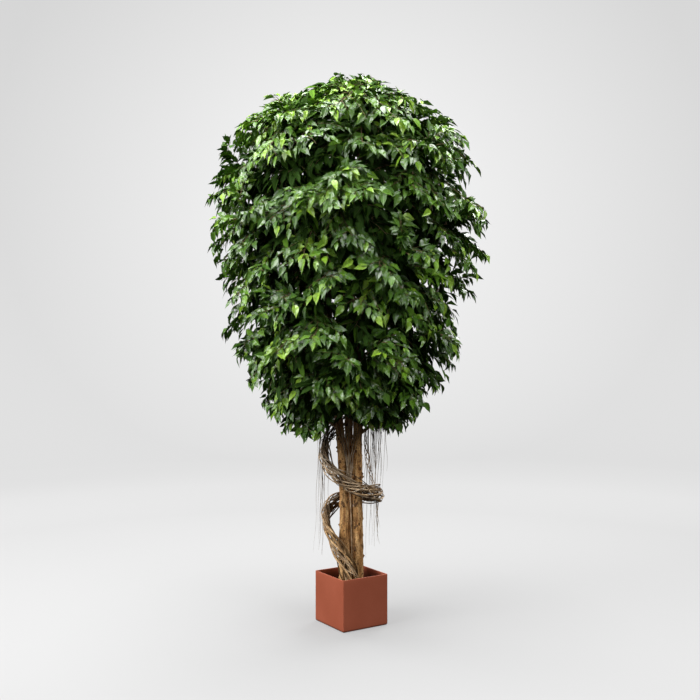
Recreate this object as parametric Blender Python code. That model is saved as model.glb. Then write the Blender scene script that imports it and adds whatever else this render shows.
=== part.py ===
"""Potted ficus tree: three slender trunks wound with a rope of lianas, a tall leafy crown and hanging aerial
roots, standing in a square planter. Metres, +Z up, origin at the centre of the planter's underside.

The planter's sides lie along X and Y. The tree is laid out in its own axes (x across its broad view, y to
the back) and then turned by TREE_TURN, because it stands askew in the planter.
"""

import math
import random

import bmesh
import bpy
from mathutils import Matrix, Vector, noise
from mathutils.bvhtree import BVHTree

# Planter
POT_SIDE = 0.258
POT_HEIGHT = 0.250
POT_WALL = 0.005
POT_EDGE_RADIUS = 0.004
POT_FOOT_RADIUS = 0.008

# Filling
SOIL_TOP = 0.165
SOIL_MOUND = 0.008
SOIL_LUMPS = 0.4
SOIL_GRID = 6

# Gap left between pieces that touch
GAP = 0.0003

# The tree's own axes against the planter's
TREE_TURN = math.radians(-33)

# Trunks: points of each centre line with its radius there, from the cut foot to the tip
TRUNK_SIDES = 8
TRUNK_STEP = 0.085
KNOB_HEIGHT = 0.10
KNOB_SIZE = 0.055
KNOB_SEED = Vector((90, 70, 3.1))
TRUNKS = {
    "trunk_right": (
        (0.036, -0.010, 0.020, 0.0265),
        (0.035, -0.008, 0.250, 0.0245),
        (0.033, -0.010, 0.600, 0.0240),
        (0.032, -0.006, 1.000, 0.0230),
        (0.050, -0.010, 1.400, 0.0190),
        (0.060, -0.025, 1.850, 0.0145),
        (0.035, -0.020, 2.380, 0.0075),
    ),
    "trunk_left": (
        (-0.036, -0.014, 0.020, 0.0270),
        (-0.034, -0.014, 0.300, 0.0255),
        (-0.035, -0.010, 0.620, 0.0240),
        (-0.052, -0.008, 0.900, 0.0220),
        (-0.080, -0.005, 1.150, 0.0190),
        (-0.110, -0.015, 1.600, 0.0150),
        (-0.090, -0.020, 2.250, 0.0075),
    ),
    "trunk_back": (
        (-0.004, 0.054, 0.020, 0.0230),
        (-0.008, 0.054, 0.400, 0.0215),
        (-0.012, 0.058, 0.900, 0.0200),
        (0.000, 0.090, 1.300, 0.0175),
        (0.005, 0.120, 1.750, 0.0140),
        (-0.010, 0.100, 2.300, 0.0075),
    ),
}

# Lianas: the middle of their rope, one and a half turns round the trunks, up into the crown
LIANA_ROUTE = (
    (0.016, -0.076, 0.090),
    (0.006, -0.080, 0.190),
    (-0.014, -0.084, 0.290),
    (-0.056, -0.078, 0.368),
    (-0.094, -0.058, 0.432),
    (-0.120, -0.020, 0.490),
    (-0.118, 0.040, 0.548),
    (-0.085, 0.090, 0.580),
    (-0.030, 0.116, 0.598),
    (0.030, 0.116, 0.610),
    (0.090, 0.092, 0.616),
    (0.140, 0.036, 0.624),
    (0.122, -0.042, 0.642),
    (0.058, -0.078, 0.664),
    (-0.008, -0.082, 0.692),
    (-0.070, -0.072, 0.733),
    (-0.118, -0.036, 0.785),
    (-0.135, 0.020, 0.850),
    (-0.112, 0.078, 0.920),
    (-0.056, 0.116, 0.985),
    (0.012, 0.128, 1.040),
    (0.072, 0.094, 1.100),
    (0.108, 0.040, 1.170),
    (0.112, 0.010, 1.260),
)
LIANA_COUNT = 7
LIANA_RADIUS = 0.0038
LIANA_SIDES = 5
LIANA_STEP = 0.056
ROPE_HALF_WIDTH = 0.027
ROPE_HALF_DEPTH = 0.0125
ROPE_TURNS = 3.2
LIANA_SWELL = 0.10
LIANA_SHORTEST = 4

# One more vine climbs by itself between the two front trunks
VINE_ROUTE = (
    (0.000, -0.034, 0.090),
    (0.002, -0.036, 0.260),
    (0.003, -0.034, 0.420),
    (-0.001, -0.037, 0.560),
    (-0.008, -0.036, 0.700),
    (-0.012, -0.038, 0.840),
    (-0.010, -0.044, 0.960),
    (-0.004, -0.052, 1.050),
)

# Limbs that carry the aerial roots: the trunk each leaves, and the points of its centre line
LIMBS = {
    "limb_right": (
        "trunk_right",
        ((0.032, -0.006, 0.925), (0.085, -0.004, 0.965), (0.140, 0.000, 1.020), (0.205, 0.000, 1.060)),
    ),
    "limb_left": (
        "trunk_left",
        ((-0.056, -0.008, 0.955), (-0.100, -0.014, 0.985), (-0.145, -0.012, 1.010), (-0.205, -0.010, 1.035)),
    ),
}
LIMB_RADIUS = 0.0085
LIMB_TIP_RADIUS = 0.0055
LIMB_STEP = 0.0125
ROOT_RADIUS = 0.0019
ROOT_HANGS = (0.62, 0.50, 0.40, 0.30, 0.25, 0.18)
ROOT_STOPS = (0.03, 0.45, 1.0)
ROOT_SWAY = 0.014

# Crown: its radius at each height, to the furthest leaf tips
CROWN = (
    (0.930, 0.26),
    (1.000, 0.35),
    (1.100, 0.42),
    (1.200, 0.51),
    (1.300, 0.58),
    (1.500, 0.62),
    (1.650, 0.65),
    (1.800, 0.66),
    (1.920, 0.70),
    (2.020, 0.72),
    (2.180, 0.69),
    (2.330, 0.63),
    (2.480, 0.55),
    (2.580, 0.45),
    (2.680, 0.27),
    (2.725, 0.06),
)
CROWN_FRINGE = 0.02

# Boughs: each leaves the nearest trunk below its spot on the crown, lifts, then arches over to that spot.
# A few that would meet another bough there have their trunk and height chosen by hand
BOUGHS = 25
FIRST_FORK = 1.075
LAST_FORK = 2.24
FORK_DROP = 0.10
FORK_SLOPE = 0.42
FORK_SHARE = 0.58
FORKS_BY_HAND = {
    3: ("trunk_left", 1.075),
    4: ("trunk_back", 1.110),
    5: ("trunk_left", 1.110),
    6: ("trunk_right", 1.095),
    7: ("trunk_back", 1.165),
    25: ("trunk_left", 2.240),
}
BOUGH_RADIUS = 0.0095
BOUGH_TIP_RADIUS = 0.0034
BOUGH_LIFT = 0.30
BOUGH_ARCH = 0.22
BOUGH_CREST = 0.07
BOUGH_ROWS = 40
BOUGH_BENDS = (0.18, 0.34)
BOUGH_NODES = (0.50, 0.72, 0.88)
TIP_INSET = 0.060
NODE_LENGTH = 0.007

# Twigs: a pair at each of a bough's first nodes
TWIG_LENGTHS = (0.23, 0.17)
TWIG_RADIUS = 0.0034
TWIG_SPREAD = 0.85
TWIG_AHEAD = 0.50
TWIG_OUT = 0.12
TWIG_DROOP = 0.22
TWIG_ARCH = 0.06
TWIG_STRAY = 0.06
TWIG_CLEAR = 0.012

# Leaves are twice life size, so that fewer of them still clothe the crown
LEAF_LENGTH = 0.145
LEAF_WIDTH = 0.075
LEAF_THICK = 0.0010
LEAF_FOLD = 0.010
LEAF_SAG = 0.22
LEAF_SHOULDER = (0.38, 1.0)
LEAF_NECK = (0.76, 0.50)
LEAF_AHEAD = 0.60
LEAF_SPREAD = 0.75
LEAF_OUT = 0.22
LEAF_HANG = 0.38
LEAF_SKYWARD = 0.45
LEAF_STRAY = (0.08, 0.07)
LEAF_SPARE = 0.0016
LEAF_TURN = 0.25

# How often a twig or a leaf is drawn again, shorter and askew, before it is left out
TRIES = 10

SEED = 11
GOLDEN_ANGLE = math.pi * (3 - math.sqrt(5))
UP = Vector((0, 0, 1))

# Finishes: colour, roughness, metallic
FINISHES = {
    "terracotta_lacquer": ((0.32, 0.085, 0.045), 0.55, 0.0),
    "soil": ((0.035, 0.022, 0.014), 0.95, 0.0),
    "bark": ((0.30, 0.19, 0.10), 0.85, 0.0),
    "liana_bark": ((0.19, 0.13, 0.08), 0.85, 0.0),
    "leaf_green": ((0.045, 0.14, 0.03), 0.45, 0.0),
}


def clear_scene():
    """Remove every object that is in the scene."""
    for old in list(bpy.data.objects):
        bpy.data.objects.remove(old, do_unlink=True)


def finish(name):
    """The Principled material of one finish, made once."""
    found = bpy.data.materials.get(name)
    if found:
        return found
    colour, roughness, metallic = FINISHES[name]
    made = bpy.data.materials.new(name)
    made.use_nodes = True
    shader = made.node_tree.nodes["Principled BSDF"]
    shader.inputs["Base Color"].default_value = (*colour, 1)
    shader.inputs["Roughness"].default_value = roughness
    shader.inputs["Metallic"].default_value = metallic
    return made


def add_object(name, bm, finish_name, turned=True, smooth=True):
    """Turn a bmesh into a named object. What belongs to the tree is turned into the planter's axes."""
    if turned:
        bm.transform(Matrix.Rotation(TREE_TURN, 4, "Z"))
    bmesh.ops.recalc_face_normals(bm, faces=bm.faces)
    mesh = bpy.data.meshes.new(name)
    bm.to_mesh(mesh)
    bm.free()
    made = bpy.data.objects.new(name, mesh)
    bpy.context.scene.collection.objects.link(made)
    mesh.materials.append(finish(finish_name))
    if smooth:
        mesh.shade_smooth()
    return made


def make_guide(obj):
    """Keep an object as a cutter only."""
    obj.hide_render = True
    obj.display_type = "WIRE"
    return obj


def cut_away(obj, guide):
    """Leave a Boolean on obj that takes the guide's space out of it."""
    cut = obj.modifiers.new("seat", "BOOLEAN")
    cut.operation = "DIFFERENCE"
    cut.solver = "EXACT"
    cut.object = guide


def between(a, b, share):
    """The value that lies a share of the way from a to b."""
    return a + (b - a) * share


def on_table(table, x):
    """Read a table of (x, value) rows with straight lines between them."""
    if x <= table[0][0]:
        return table[0][1]
    for (x0, y0), (x1, y1) in zip(table, table[1:]):
        if x <= x1:
            return between(y0, y1, (x - x0) / (x1 - x0))
    return table[-1][1]


def spline(points, share):
    """A point of the Catmull-Rom curve through points, at a share of its rows from 0 to 1."""
    last = len(points) - 1
    at = min(max(share, 0.0), 1.0) * last
    i = min(int(at), last - 1)
    t = at - i
    rows = [Vector(points[min(max(i + k, 0), last)]) for k in (-1, 0, 1, 2)]
    a, b, c, d = rows
    return 0.5 * (2 * b + (c - a) * t + (2 * a - 5 * b + 4 * c - d) * t**2 + (3 * b - a - 3 * c + d) * t**3)


def even_path(points, step):
    """Points about step apart along the curve through points, both ends included."""
    fine = [spline(points, i / 400) for i in range(401)]
    lengths = [0.0]
    for a, b in zip(fine, fine[1:]):
        lengths.append(lengths[-1] + (b - a).to_3d().length)
    count = max(2, round(lengths[-1] / step) + 1)
    table = list(zip(lengths, fine))
    return [on_table(table, lengths[-1] * i / (count - 1)) for i in range(count)]


def headings(path):
    """The direction of travel at each point of a path."""
    ahead = path[1:] + [path[-1]]
    behind = [path[0]] + path[:-1]
    return [(b - a).normalized() for a, b in zip(behind, ahead)]


def lengthened(path, extra):
    """A path with both ends moved outwards by extra."""
    first, last = headings(path)[0], headings(path)[-1]
    return [path[0] - first * extra] + path[1:-1] + [path[-1] + last * extra]


def tube(bm, path, radius_at, sides):
    """A closed tube of rings along path. radius_at gives the radius for a point of the path and an arm.

    Its sides are triangles, so that a fatter copy of it is split along the same diagonals."""
    side = headings(path)[0].orthogonal().normalized()
    rings = []
    for index, (point, heading) in enumerate(zip(path, headings(path))):
        side = (side - heading * side.dot(heading)).normalized()
        other = heading.cross(side)
        ring = []
        for k in range(sides):
            angle = math.tau * k / sides
            arm = side * math.cos(angle) + other * math.sin(angle)
            ring.append(bm.verts.new(point + arm * radius_at(index, arm)))
        rings.append(ring)
    for low, high in zip(rings, rings[1:]):
        for k in range(sides):
            after = (k + 1) % sides
            bm.faces.new((low[k], low[after], high[after]))
            bm.faces.new((low[k], high[after], high[k]))
    bm.faces.new(rings[0])
    bm.faces.new(rings[-1])


def make_pot():
    """The planter: a cube with softly rounded uprights and foot, hollowed out to an even wall."""
    bm = bmesh.new()
    bmesh.ops.create_cube(bm, size=1)
    bmesh.ops.scale(bm, vec=(POT_SIDE, POT_SIDE, POT_HEIGHT), verts=bm.verts)
    bmesh.ops.translate(bm, vec=(0, 0, POT_HEIGHT / 2), verts=bm.verts)
    top = max(bm.faces, key=lambda face: face.calc_center_median().z)
    inset = bmesh.ops.inset_individual(bm, faces=[top], thickness=POT_WALL)
    rim = set(inset["faces"])
    opening = [face for face in bm.faces if face.normal.z > 0.5 and face not in rim][0]
    sunk = bmesh.ops.extrude_discrete_faces(bm, faces=[opening])["faces"]
    bmesh.ops.translate(bm, vec=(0, 0, POT_WALL - POT_HEIGHT), verts=sunk[0].verts)
    half = POT_SIDE / 2
    outer = [v for v in bm.verts if max(abs(v.co.x), abs(v.co.y)) > half - POT_WALL / 2]
    corners = [edge for edge in bm.edges if all(vert in outer for vert in edge.verts)]
    uprights = [edge for edge in corners if edge.verts[0].co.z != edge.verts[1].co.z]
    bmesh.ops.bevel(bm, geom=uprights, offset=POT_EDGE_RADIUS, segments=2, affect="EDGES", profile=0.5)
    foot = [e for e in bm.edges if all(v.co.z < POT_WALL / 2 for v in e.verts)]
    bmesh.ops.bevel(bm, geom=foot, offset=POT_FOOT_RADIUS, segments=3, affect="EDGES", profile=0.5)
    pot = add_object("planter", bm, "terracotta_lacquer", turned=False)
    pot.data.set_sharp_from_angle(angle=math.radians(35))
    return pot


def make_soil(guide):
    """The filling: a block that fits the planter, gently mounded, with a plain hole for each stem."""
    bm = bmesh.new()
    half = POT_SIDE / 2 - POT_WALL - GAP
    floor = POT_WALL + GAP
    bmesh.ops.create_grid(bm, x_segments=SOIL_GRID, y_segments=SOIL_GRID, size=half)
    for vert in bm.verts:
        edge = max(abs(vert.co.x), abs(vert.co.y)) / half
        lumps = noise.noise(vert.co / KNOB_SIZE) * SOIL_LUMPS
        vert.co.z = SOIL_TOP + SOIL_MOUND * (1 + lumps) * (1 - edge**2)
    border = [edge for edge in bm.edges if edge.is_boundary]
    walls = bmesh.ops.extrude_edge_only(bm, edges=border)["geom"]
    below = [item for item in walls if isinstance(item, bmesh.types.BMVert)]
    for vert in below:
        vert.co.z = floor
    bmesh.ops.contextual_create(bm, geom=[e for e in bm.edges if e.is_boundary])
    soil = add_object("soil", bm, "soil", turned=False)
    soil.data.set_sharp_from_angle(angle=math.radians(45))
    cut_away(soil, guide)


def trunk_tube(bm, rows, extra=0.0):
    """One trunk, knobbed along its length. extra makes it fatter all over, as a cutter needs."""
    path = lengthened(even_path(rows_as_points(rows), TRUNK_STEP), extra)
    radii = [on_table([(row[2], row[3]) for row in rows], point.z) for point in path]
    seed = Vector([start * scale for start, scale in zip(rows[0], KNOB_SEED)])

    def radius_at(index, arm):
        spot = seed + (path[index] + arm * radii[index]) / KNOB_SIZE
        knob = noise.noise(spot) * KNOB_HEIGHT
        return radii[index] * (1 + knob) + extra

    tube(bm, path, radius_at, TRUNK_SIDES)


def rows_as_points(rows):
    """The centre line of a table of (x, y, z, radius) rows."""
    return [Vector(row[:3]) for row in rows]


def rope_middle():
    """Points along the lianas' shared route, closer together than any liana's own rings."""
    return even_path([Vector(point) for point in LIANA_ROUTE], LIANA_STEP)


def liana_path(number):
    """One liana of the rope. It travels round a flat ring along the route, so the lianas change places."""
    middle = rope_middle()
    path = []
    for index, (point, heading) in enumerate(zip(middle, headings(middle))):
        outward = Vector((point.x, point.y, 0)).normalized()
        outward = (outward - heading * outward.dot(heading)).normalized()
        across = heading.cross(outward)
        turn = math.tau * (number / (LIANA_COUNT - 1) + ROPE_TURNS * index / (len(middle) - 1))
        ring = 0.0 if number == LIANA_COUNT - 1 else 1.0
        offset = across * math.cos(turn) * ROPE_HALF_WIDTH + outward * math.sin(turn) * ROPE_HALF_DEPTH
        path.append(point + offset * ring)
    return path[: len(path) - number % LIANA_SHORTEST]


def vine_path():
    """The middle of the single vine."""
    return even_path([Vector(point) for point in VINE_ROUTE], LIANA_STEP)


def liana_tube(bm, path, number, extra=0.0):
    """A liana along a path, slightly uneven in thickness."""

    def radius_at(index, arm):
        swell = 1 + LIANA_SWELL * math.sin(index * 1.7 + number * 2.3)
        return LIANA_RADIUS * swell + extra

    tube(bm, lengthened(path, extra), radius_at, LIANA_SIDES)


def side_faces(cap):
    """The faces that join a freshly extruded cap to what is below it."""
    return [face for edge in cap.edges for face in edge.link_faces if face is not cap]


def grow(bm, face, path, radii):
    """Extrude a four-cornered face from point to point of path. Returns the end cap and each span's sides.

    Every ring is a square across the path's heading, and keeps the turn of the ring before it."""
    spans = []
    start = face.calc_center_median()
    facing = face.normal.copy()
    corner = (face.verts[0].co - start).normalized()
    ways = headings([start] + list(path))[1:]
    for point, radius, heading in zip(path, radii, ways):
        corner = facing.rotation_difference(heading) @ corner
        corner = (corner - heading * corner.dot(heading)).normalized()
        face = bmesh.ops.extrude_discrete_faces(bm, faces=[face])["faces"][0]
        for k, vert in enumerate(face.verts):
            vert.co = point + Matrix.Rotation(math.tau * k / 4, 3, heading) @ corner * radius
        face.normal_update()
        sides = side_faces(face)
        for side in sides:
            side.normal_update()
        spans.append(sides)
        facing = heading
    return face, spans


def closed_start(bm, line, radius):
    """The closed root of a stem: a square face that looks along the line, with its back covered."""
    heading = (line[1] - line[0]).normalized()
    side = heading.orthogonal().normalized()
    turns = [Matrix.Rotation(math.tau * k / 4, 3, heading) for k in range(4)]
    root = [bm.verts.new(line[0] + turn @ side * radius) for turn in turns]
    bm.faces.new(list(reversed(root)))
    ahead = [bm.verts.new(vert.co + heading * GAP) for vert in root]
    for k in range(4):
        bm.faces.new((root[k], root[(k + 1) % 4], ahead[(k + 1) % 4], ahead[k]))
    face = bm.faces.new(ahead)
    face.normal_update()
    return face


def facing_side(sides, direction):
    """The one of these faces that looks most in a direction."""
    return max(sides, key=lambda face: face.normal.dot(direction))


def make_limb(name, trunk_cutters, thicket):
    """A bare limb with aerial roots that hang from its underside, each as long as its way down is clear."""
    trunk, points = LIMBS[name]
    draw = random.Random(name)
    bm = bmesh.new()
    line = even_path([Vector(point) for point in points], LIMB_STEP)
    radii = [between(LIMB_RADIUS, LIMB_TIP_RADIUS, i / (len(line) - 1)) for i in range(len(line))]
    cap, spans = grow(bm, closed_start(bm, line, LIMB_RADIUS), line[1:], radii[1:])
    for sides in spans[4::2]:
        face = facing_side(sides, -UP)
        start = face.calc_center_median()
        first = draw.randrange(3)
        for hang in ROOT_HANGS[first:]:
            sway = Vector((draw.uniform(-1, 1), draw.uniform(-1, 1), 0)) * ROOT_SWAY
            stops = [start + (sway - UP * hang) * share for share in ROOT_STOPS]
            if thicket.has_room(probe_tube(stops, ROOT_RADIUS + LEAF_SPARE)):
                grow(bm, face, stops, (ROOT_RADIUS, ROOT_RADIUS, ROOT_RADIUS * 0.5))
                break
    thicket.add(name, BVHTree.FromBMesh(bm))
    limb = add_object(name, bm, "liana_bark")
    cut_away(limb, trunk_cutters[trunk])


def crown_spots():
    """Where the boughs end: a spiral over the crown's surface that gives each the same area to clothe."""
    steps = 300
    low, high = CROWN[0][0], CROWN[-1][0]
    levels = [between(low, high, i / steps) for i in range(steps + 1)]
    areas = [0.0]
    for a, b in zip(levels, levels[1:]):
        slant = math.hypot(b - a, on_table(CROWN, b) - on_table(CROWN, a))
        areas.append(areas[-1] + slant * on_table(CROWN, (a + b) / 2))
    table = list(zip(areas, levels))
    spots = []
    for i in range(BOUGHS):
        z = on_table(table, areas[-1] * (i + 0.5) / BOUGHS)
        angle = i * GOLDEN_ANGLE
        slope = (on_table(CROWN, z + 0.05) - on_table(CROWN, z - 0.05)) / 0.1
        outward = Vector((math.cos(angle), math.sin(angle), 0))
        normal = (outward - UP * slope * 0.8).normalized()
        spots.append((outward * on_table(CROWN, z) + UP * z, normal, outward))
    return spots


def bezier(a, b, c, d, t):
    """A point of the cubic curve that starts at a, ends at d and is drawn towards b and c."""
    u = 1 - t
    return a * u**3 + b * 3 * u * u * t + c * 3 * u * t * t + d * t**3


def bough_line(root, spot, normal, outward):
    """The centre line of a bough: up and out from its trunk, then over and down at the tip."""
    end = spot - normal * TIP_INSET
    reach = (end - root).length
    lift = root + (outward + UP) * reach * BOUGH_LIFT
    over = end - normal * reach * BOUGH_ARCH + UP * BOUGH_CREST
    return [bezier(root, lift, over, end, i / BOUGH_ROWS) for i in range(BOUGH_ROWS + 1)]


def with_nodes(line, bends, nodes):
    """Points at shares of a line. A shoot starts between each node and the point that follows close by."""
    points = [at_share(line, share) for share in bends]
    for share in nodes:
        here = at_share(line, share)
        ahead = (at_share(line, share + 0.02) - here).normalized()
        points += [here, here + ahead * NODE_LENGTH]
    return points + [line[-1]]


def at_share(line, share):
    """The point at a share of a line's rows."""
    at = min(share, 0.9999) * (len(line) - 1)
    return line[int(at)].lerp(line[int(at) + 1], at % 1)


def blade_points(root, axis, normal, length, width, room=0.0):
    """The corners of a folded, drooping blade: an upper and a lower copy of a hexagon with a low rib."""
    across = axis.cross(normal).normalized()
    normal = across.cross(axis).normalized()
    sag = (-UP - normal) * length * LEAF_SAG / 2

    def at(share, side, fold):
        flat = root + axis * length * share + across * side * width / 2 + sag * share**2
        return flat + normal * fold

    shoulder, full = LEAF_SHOULDER
    neck, narrow = LEAF_NECK
    outline = {
        "left": at(shoulder, -full, LEAF_FOLD),
        "rib": at(shoulder, 0, 0),
        "right": at(shoulder, full, LEAF_FOLD),
        "left_neck": at(neck, -narrow, LEAF_FOLD / 2),
        "right_neck": at(neck, narrow, LEAF_FOLD / 2),
    }
    lift = normal * (LEAF_THICK / 2 + room)
    upper = {key: point + lift for key, point in outline.items()}
    lower = {key: point - lift for key, point in outline.items()}
    return upper, lower, at(1, 0, 0), across, normal


BLADE_HALF = (
    ("left", "rib", "left_neck"),
    ("left_neck", "rib", "tip"),
    ("rib", "right_neck", "tip"),
    ("rib", "right", "right_neck"),
)


def blade_probe(root, axis, normal, length, width):
    """A search tree over a slightly fatter copy of a blade, to see whether it has room."""
    base = root + axis * length * 0.07
    wide = width + 2 * LEAF_SPARE
    upper, lower, tip, across, face = blade_points(base, axis, normal, length * 0.97, wide, LEAF_SPARE)
    points = []
    faces = []
    for half in (upper, lower):
        half = dict(half, tip=tip, left_root=base - across * 0.004, right_root=base + across * 0.004)
        start = len(points)
        names = list(half)
        points += [half[name] for name in names]
        for corners in BLADE_HALF + (("left_root", "rib", "left"), ("right_root", "right", "rib")):
            faces.append([start + names.index(name) for name in corners])
    return BVHTree.FromPolygons(points, faces)


def grow_blade(bm, face, axis, normal, length, width):
    """Draw a four-cornered face out into a leaf. Its corners take the nearest turn to the blade's section."""
    root = face.calc_center_median()
    upper, lower, tip, across, up = blade_points(root, axis, normal, length, width)
    wanted = [up - across, up + across, -up + across, -up - across]
    corners = list(face.verts)
    if anticlockwise([vert.co for vert in corners], axis) != anticlockwise(wanted, axis):
        corners.reverse()
    fits = [sum((corners[(k + turn) % 4].co - root).dot(wanted[k]) for k in range(4)) for turn in range(4)]
    turn = fits.index(max(fits))
    left_up, right_up, right_low, left_low = [corners[(k + turn) % 4] for k in range(4)]
    bm.faces.remove(face)
    top = {key: bm.verts.new(point) for key, point in upper.items()}
    low = {key: bm.verts.new(point) for key, point in lower.items()}
    top["tip"] = low["tip"] = bm.verts.new(tip)
    for half, left, right in ((top, left_up, right_up), (low, left_low, right_low)):
        for names in BLADE_HALF:
            bm.faces.new([half[name] for name in names])
        bm.faces.new((left, right, half["rib"]))
        bm.faces.new((left, half["rib"], half["left"]))
        bm.faces.new((right, half["right"], half["rib"]))
    for side, a, b in (("left", left_up, left_low), ("right", right_up, right_low)):
        neck = side + "_neck"
        bm.faces.new((a, b, low[side]))
        bm.faces.new((a, low[side], top[side]))
        bm.faces.new((top[side], low[side], low[neck]))
        bm.faces.new((top[side], low[neck], top[neck]))
        bm.faces.new((top[neck], low[neck], top["tip"]))


def anticlockwise(points, axis):
    """True if the points run anticlockwise when seen from the end of axis."""
    middle = sum(points, Vector()) / len(points)
    arms = [point - middle for point in points]
    return sum(a.cross(b).dot(axis) for a, b in zip(arms, arms[1:] + arms[:1])) > 0


class Thicket:
    """What is already placed, as search trees with the name of what each belongs to."""

    def __init__(self):
        self.placed = []

    def add(self, owner, tree):
        self.placed.append((owner, tree))

    def has_room(self, probe, skip=()):
        """True if the probe touches nothing placed, apart from what skip names."""
        return not any(probe.overlap(tree) for owner, tree in self.placed if owner not in skip)


def probe_tube(path, radius):
    """A search tree over a plain tube round a path."""
    bm = bmesh.new()
    tube(bm, path, lambda index, arm: radius, 4)
    tree = BVHTree.FromBMesh(bm)
    bm.free()
    return tree


def trunk_point(name, z):
    """The middle of a trunk at a height."""
    rows = TRUNKS[name]
    return Vector([on_table([(row[2], row[k]) for row in rows], z) for k in range(3)])


def root_radius(name, z):
    """How thick a bough is where it leaves a trunk: well under the trunk itself."""
    return min(BOUGH_RADIUS, FORK_SHARE * on_table([(row[2], row[3]) for row in TRUNKS[name]], z))


def fork_of(number, spot):
    """The trunk that a bough leaves, and the height of its fork."""
    if number in FORKS_BY_HAND:
        return FORKS_BY_HAND[number]
    wanted = spot.z - FORK_DROP - FORK_SLOPE * on_table(CROWN, spot.z)
    z = min(max(wanted, FIRST_FORK), LAST_FORK)
    return min(TRUNKS, key=lambda name: (trunk_point(name, z) - spot).length), z


def start_bough(number, spot, normal, outward, thicket):
    """Grow one bough's main stem, which is bare until its twigs and leaves are added."""
    trunk, z = fork_of(number, spot)
    line = bough_line(trunk_point(trunk, z), spot, normal, outward)
    if not thicket.has_room(probe_tube(line, BOUGH_RADIUS + LEAF_SPARE), skip=(trunk,)):
        raise ValueError("bough %d has no clear way to its spot" % number)
    points = with_nodes(line, BOUGH_BENDS, BOUGH_NODES)
    thick = root_radius(trunk, line[0].z)
    radii = [between(thick, BOUGH_TIP_RADIUS, (i + 1) / len(points)) for i in range(len(points))]
    bm = bmesh.new()
    cap, spans = grow(bm, closed_start(bm, line, thick), points, radii)
    name = "bough_%02d" % number
    thicket.add(name, BVHTree.FromBMesh(bm))
    nodes = spans[len(BOUGH_BENDS) + 1 :: 2]
    parts = {"name": name, "trunk": trunk, "bm": bm, "line": line, "normal": normal}
    return dict(parts, nodes=nodes, cap=cap)


def add_twigs(bough, draw, thicket):
    """Grow pairs of twigs from the bough's first nodes along the crown's surface, and list the leaf buds."""
    normal = bough["normal"]
    buds = []
    for rank, sides in enumerate(bough["nodes"]):
        middle = sum((face.calc_center_median() for face in sides), Vector()) / 4
        near = at_share(bough["line"], BOUGH_NODES[rank] - 0.04)
        ahead = (middle - near).normalized()
        lateral = ahead.cross(normal).normalized()
        for way in (-1, 1):
            if rank >= len(TWIG_LENGTHS):
                buds.append((bough["name"], free_side(sides, lateral * way), ahead, lateral * way, normal))
                continue
            name = "%s_twig_%d%s" % (bough["name"], rank, "l" if way < 0 else "r")
            buds += grow_twig(bough, name, sides, ahead, lateral * way, TWIG_LENGTHS[rank], draw, thicket)
    tip = (bough["line"][-1] - bough["line"][-3]).normalized()
    buds.append((bough["name"], bough["cap"], tip, Vector(), normal))
    bough["buds"] = buds


def grow_twig(bough, name, sides, ahead, lateral, length, draw, thicket):
    """Grow one twig from a node of the bough if it has room. Returns its leaf buds."""
    face = free_side(sides, lateral)
    start = face.calc_center_median()
    normal = bough["normal"]
    for attempt in range(TRIES):
        way = lateral * TWIG_SPREAD + ahead * TWIG_AHEAD + normal * TWIG_OUT
        way += stray(draw, TWIG_STRAY * attempt)
        reach = way.normalized() * length * (1 - 0.04 * attempt)
        end = start + reach - UP * reach.length * TWIG_DROOP
        middle = start.lerp(end, 0.5) + UP * reach.length * TWIG_ARCH
        onward = (end - middle).normalized()
        points = [middle, middle + onward * NODE_LENGTH, end]
        clear = [start + reach.normalized() * TWIG_CLEAR] + points
        if not thicket.has_room(probe_tube(clear, TWIG_RADIUS + LEAF_SPARE)):
            continue
        cap, spans = grow(bough["bm"], face, points, (TWIG_RADIUS, TWIG_RADIUS, TWIG_RADIUS * 0.8))
        thicket.add(name, probe_tube(clear, TWIG_RADIUS))
        side = onward.cross(normal).normalized()
        shoots = [(name, free_side(spans[1], side * turn), onward, side * turn, normal) for turn in (-1, 1)]
        return shoots + [(name, cap, onward, Vector(), normal)]
    return []


def free_side(sides, direction):
    """The side of a node that looks most in a direction, taken off the list so that it is used once."""
    chosen = facing_side(sides, direction)
    sides.remove(chosen)
    return chosen


def add_leaves(bough, draw, thicket):
    """Draw a leaf out of each bud that has room for one. Returns how many there are."""
    count = 0
    for owner, face, ahead, lateral, normal in bough["buds"]:
        root = face.calc_center_median()
        for attempt in range(TRIES):
            askew = stray(draw, LEAF_STRAY[0] + LEAF_STRAY[1] * attempt)
            axis = ahead * LEAF_AHEAD + lateral * LEAF_SPREAD + normal * LEAF_OUT - UP * LEAF_HANG + askew
            axis.normalize()
            up = (normal + UP * LEAF_SKYWARD + askew / 2).normalized()
            length = LEAF_LENGTH * draw.uniform(0.90, 1.10) * (1 - 0.02 * attempt)
            width = length * LEAF_WIDTH / LEAF_LENGTH
            if face.normal.dot(axis) < LEAF_TURN or not in_crown(root + axis * length):
                continue
            probe = blade_probe(root, axis, up, length, width)
            if thicket.has_room(probe, skip=(owner,)):
                grow_blade(bough["bm"], face, axis, up, length, width)
                thicket.add(owner + "_leaf", probe)
                count += 1
                break
    return count


def stray(draw, size):
    """A random push of at most size along each axis."""
    return Vector([draw.uniform(-size, size) for _ in range(3)])


def in_crown(point):
    """True if a point lies inside the crown's outline."""
    return math.hypot(point.x, point.y) < on_table(CROWN, point.z) + CROWN_FRINGE and point.z < CROWN[-1][0]


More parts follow.
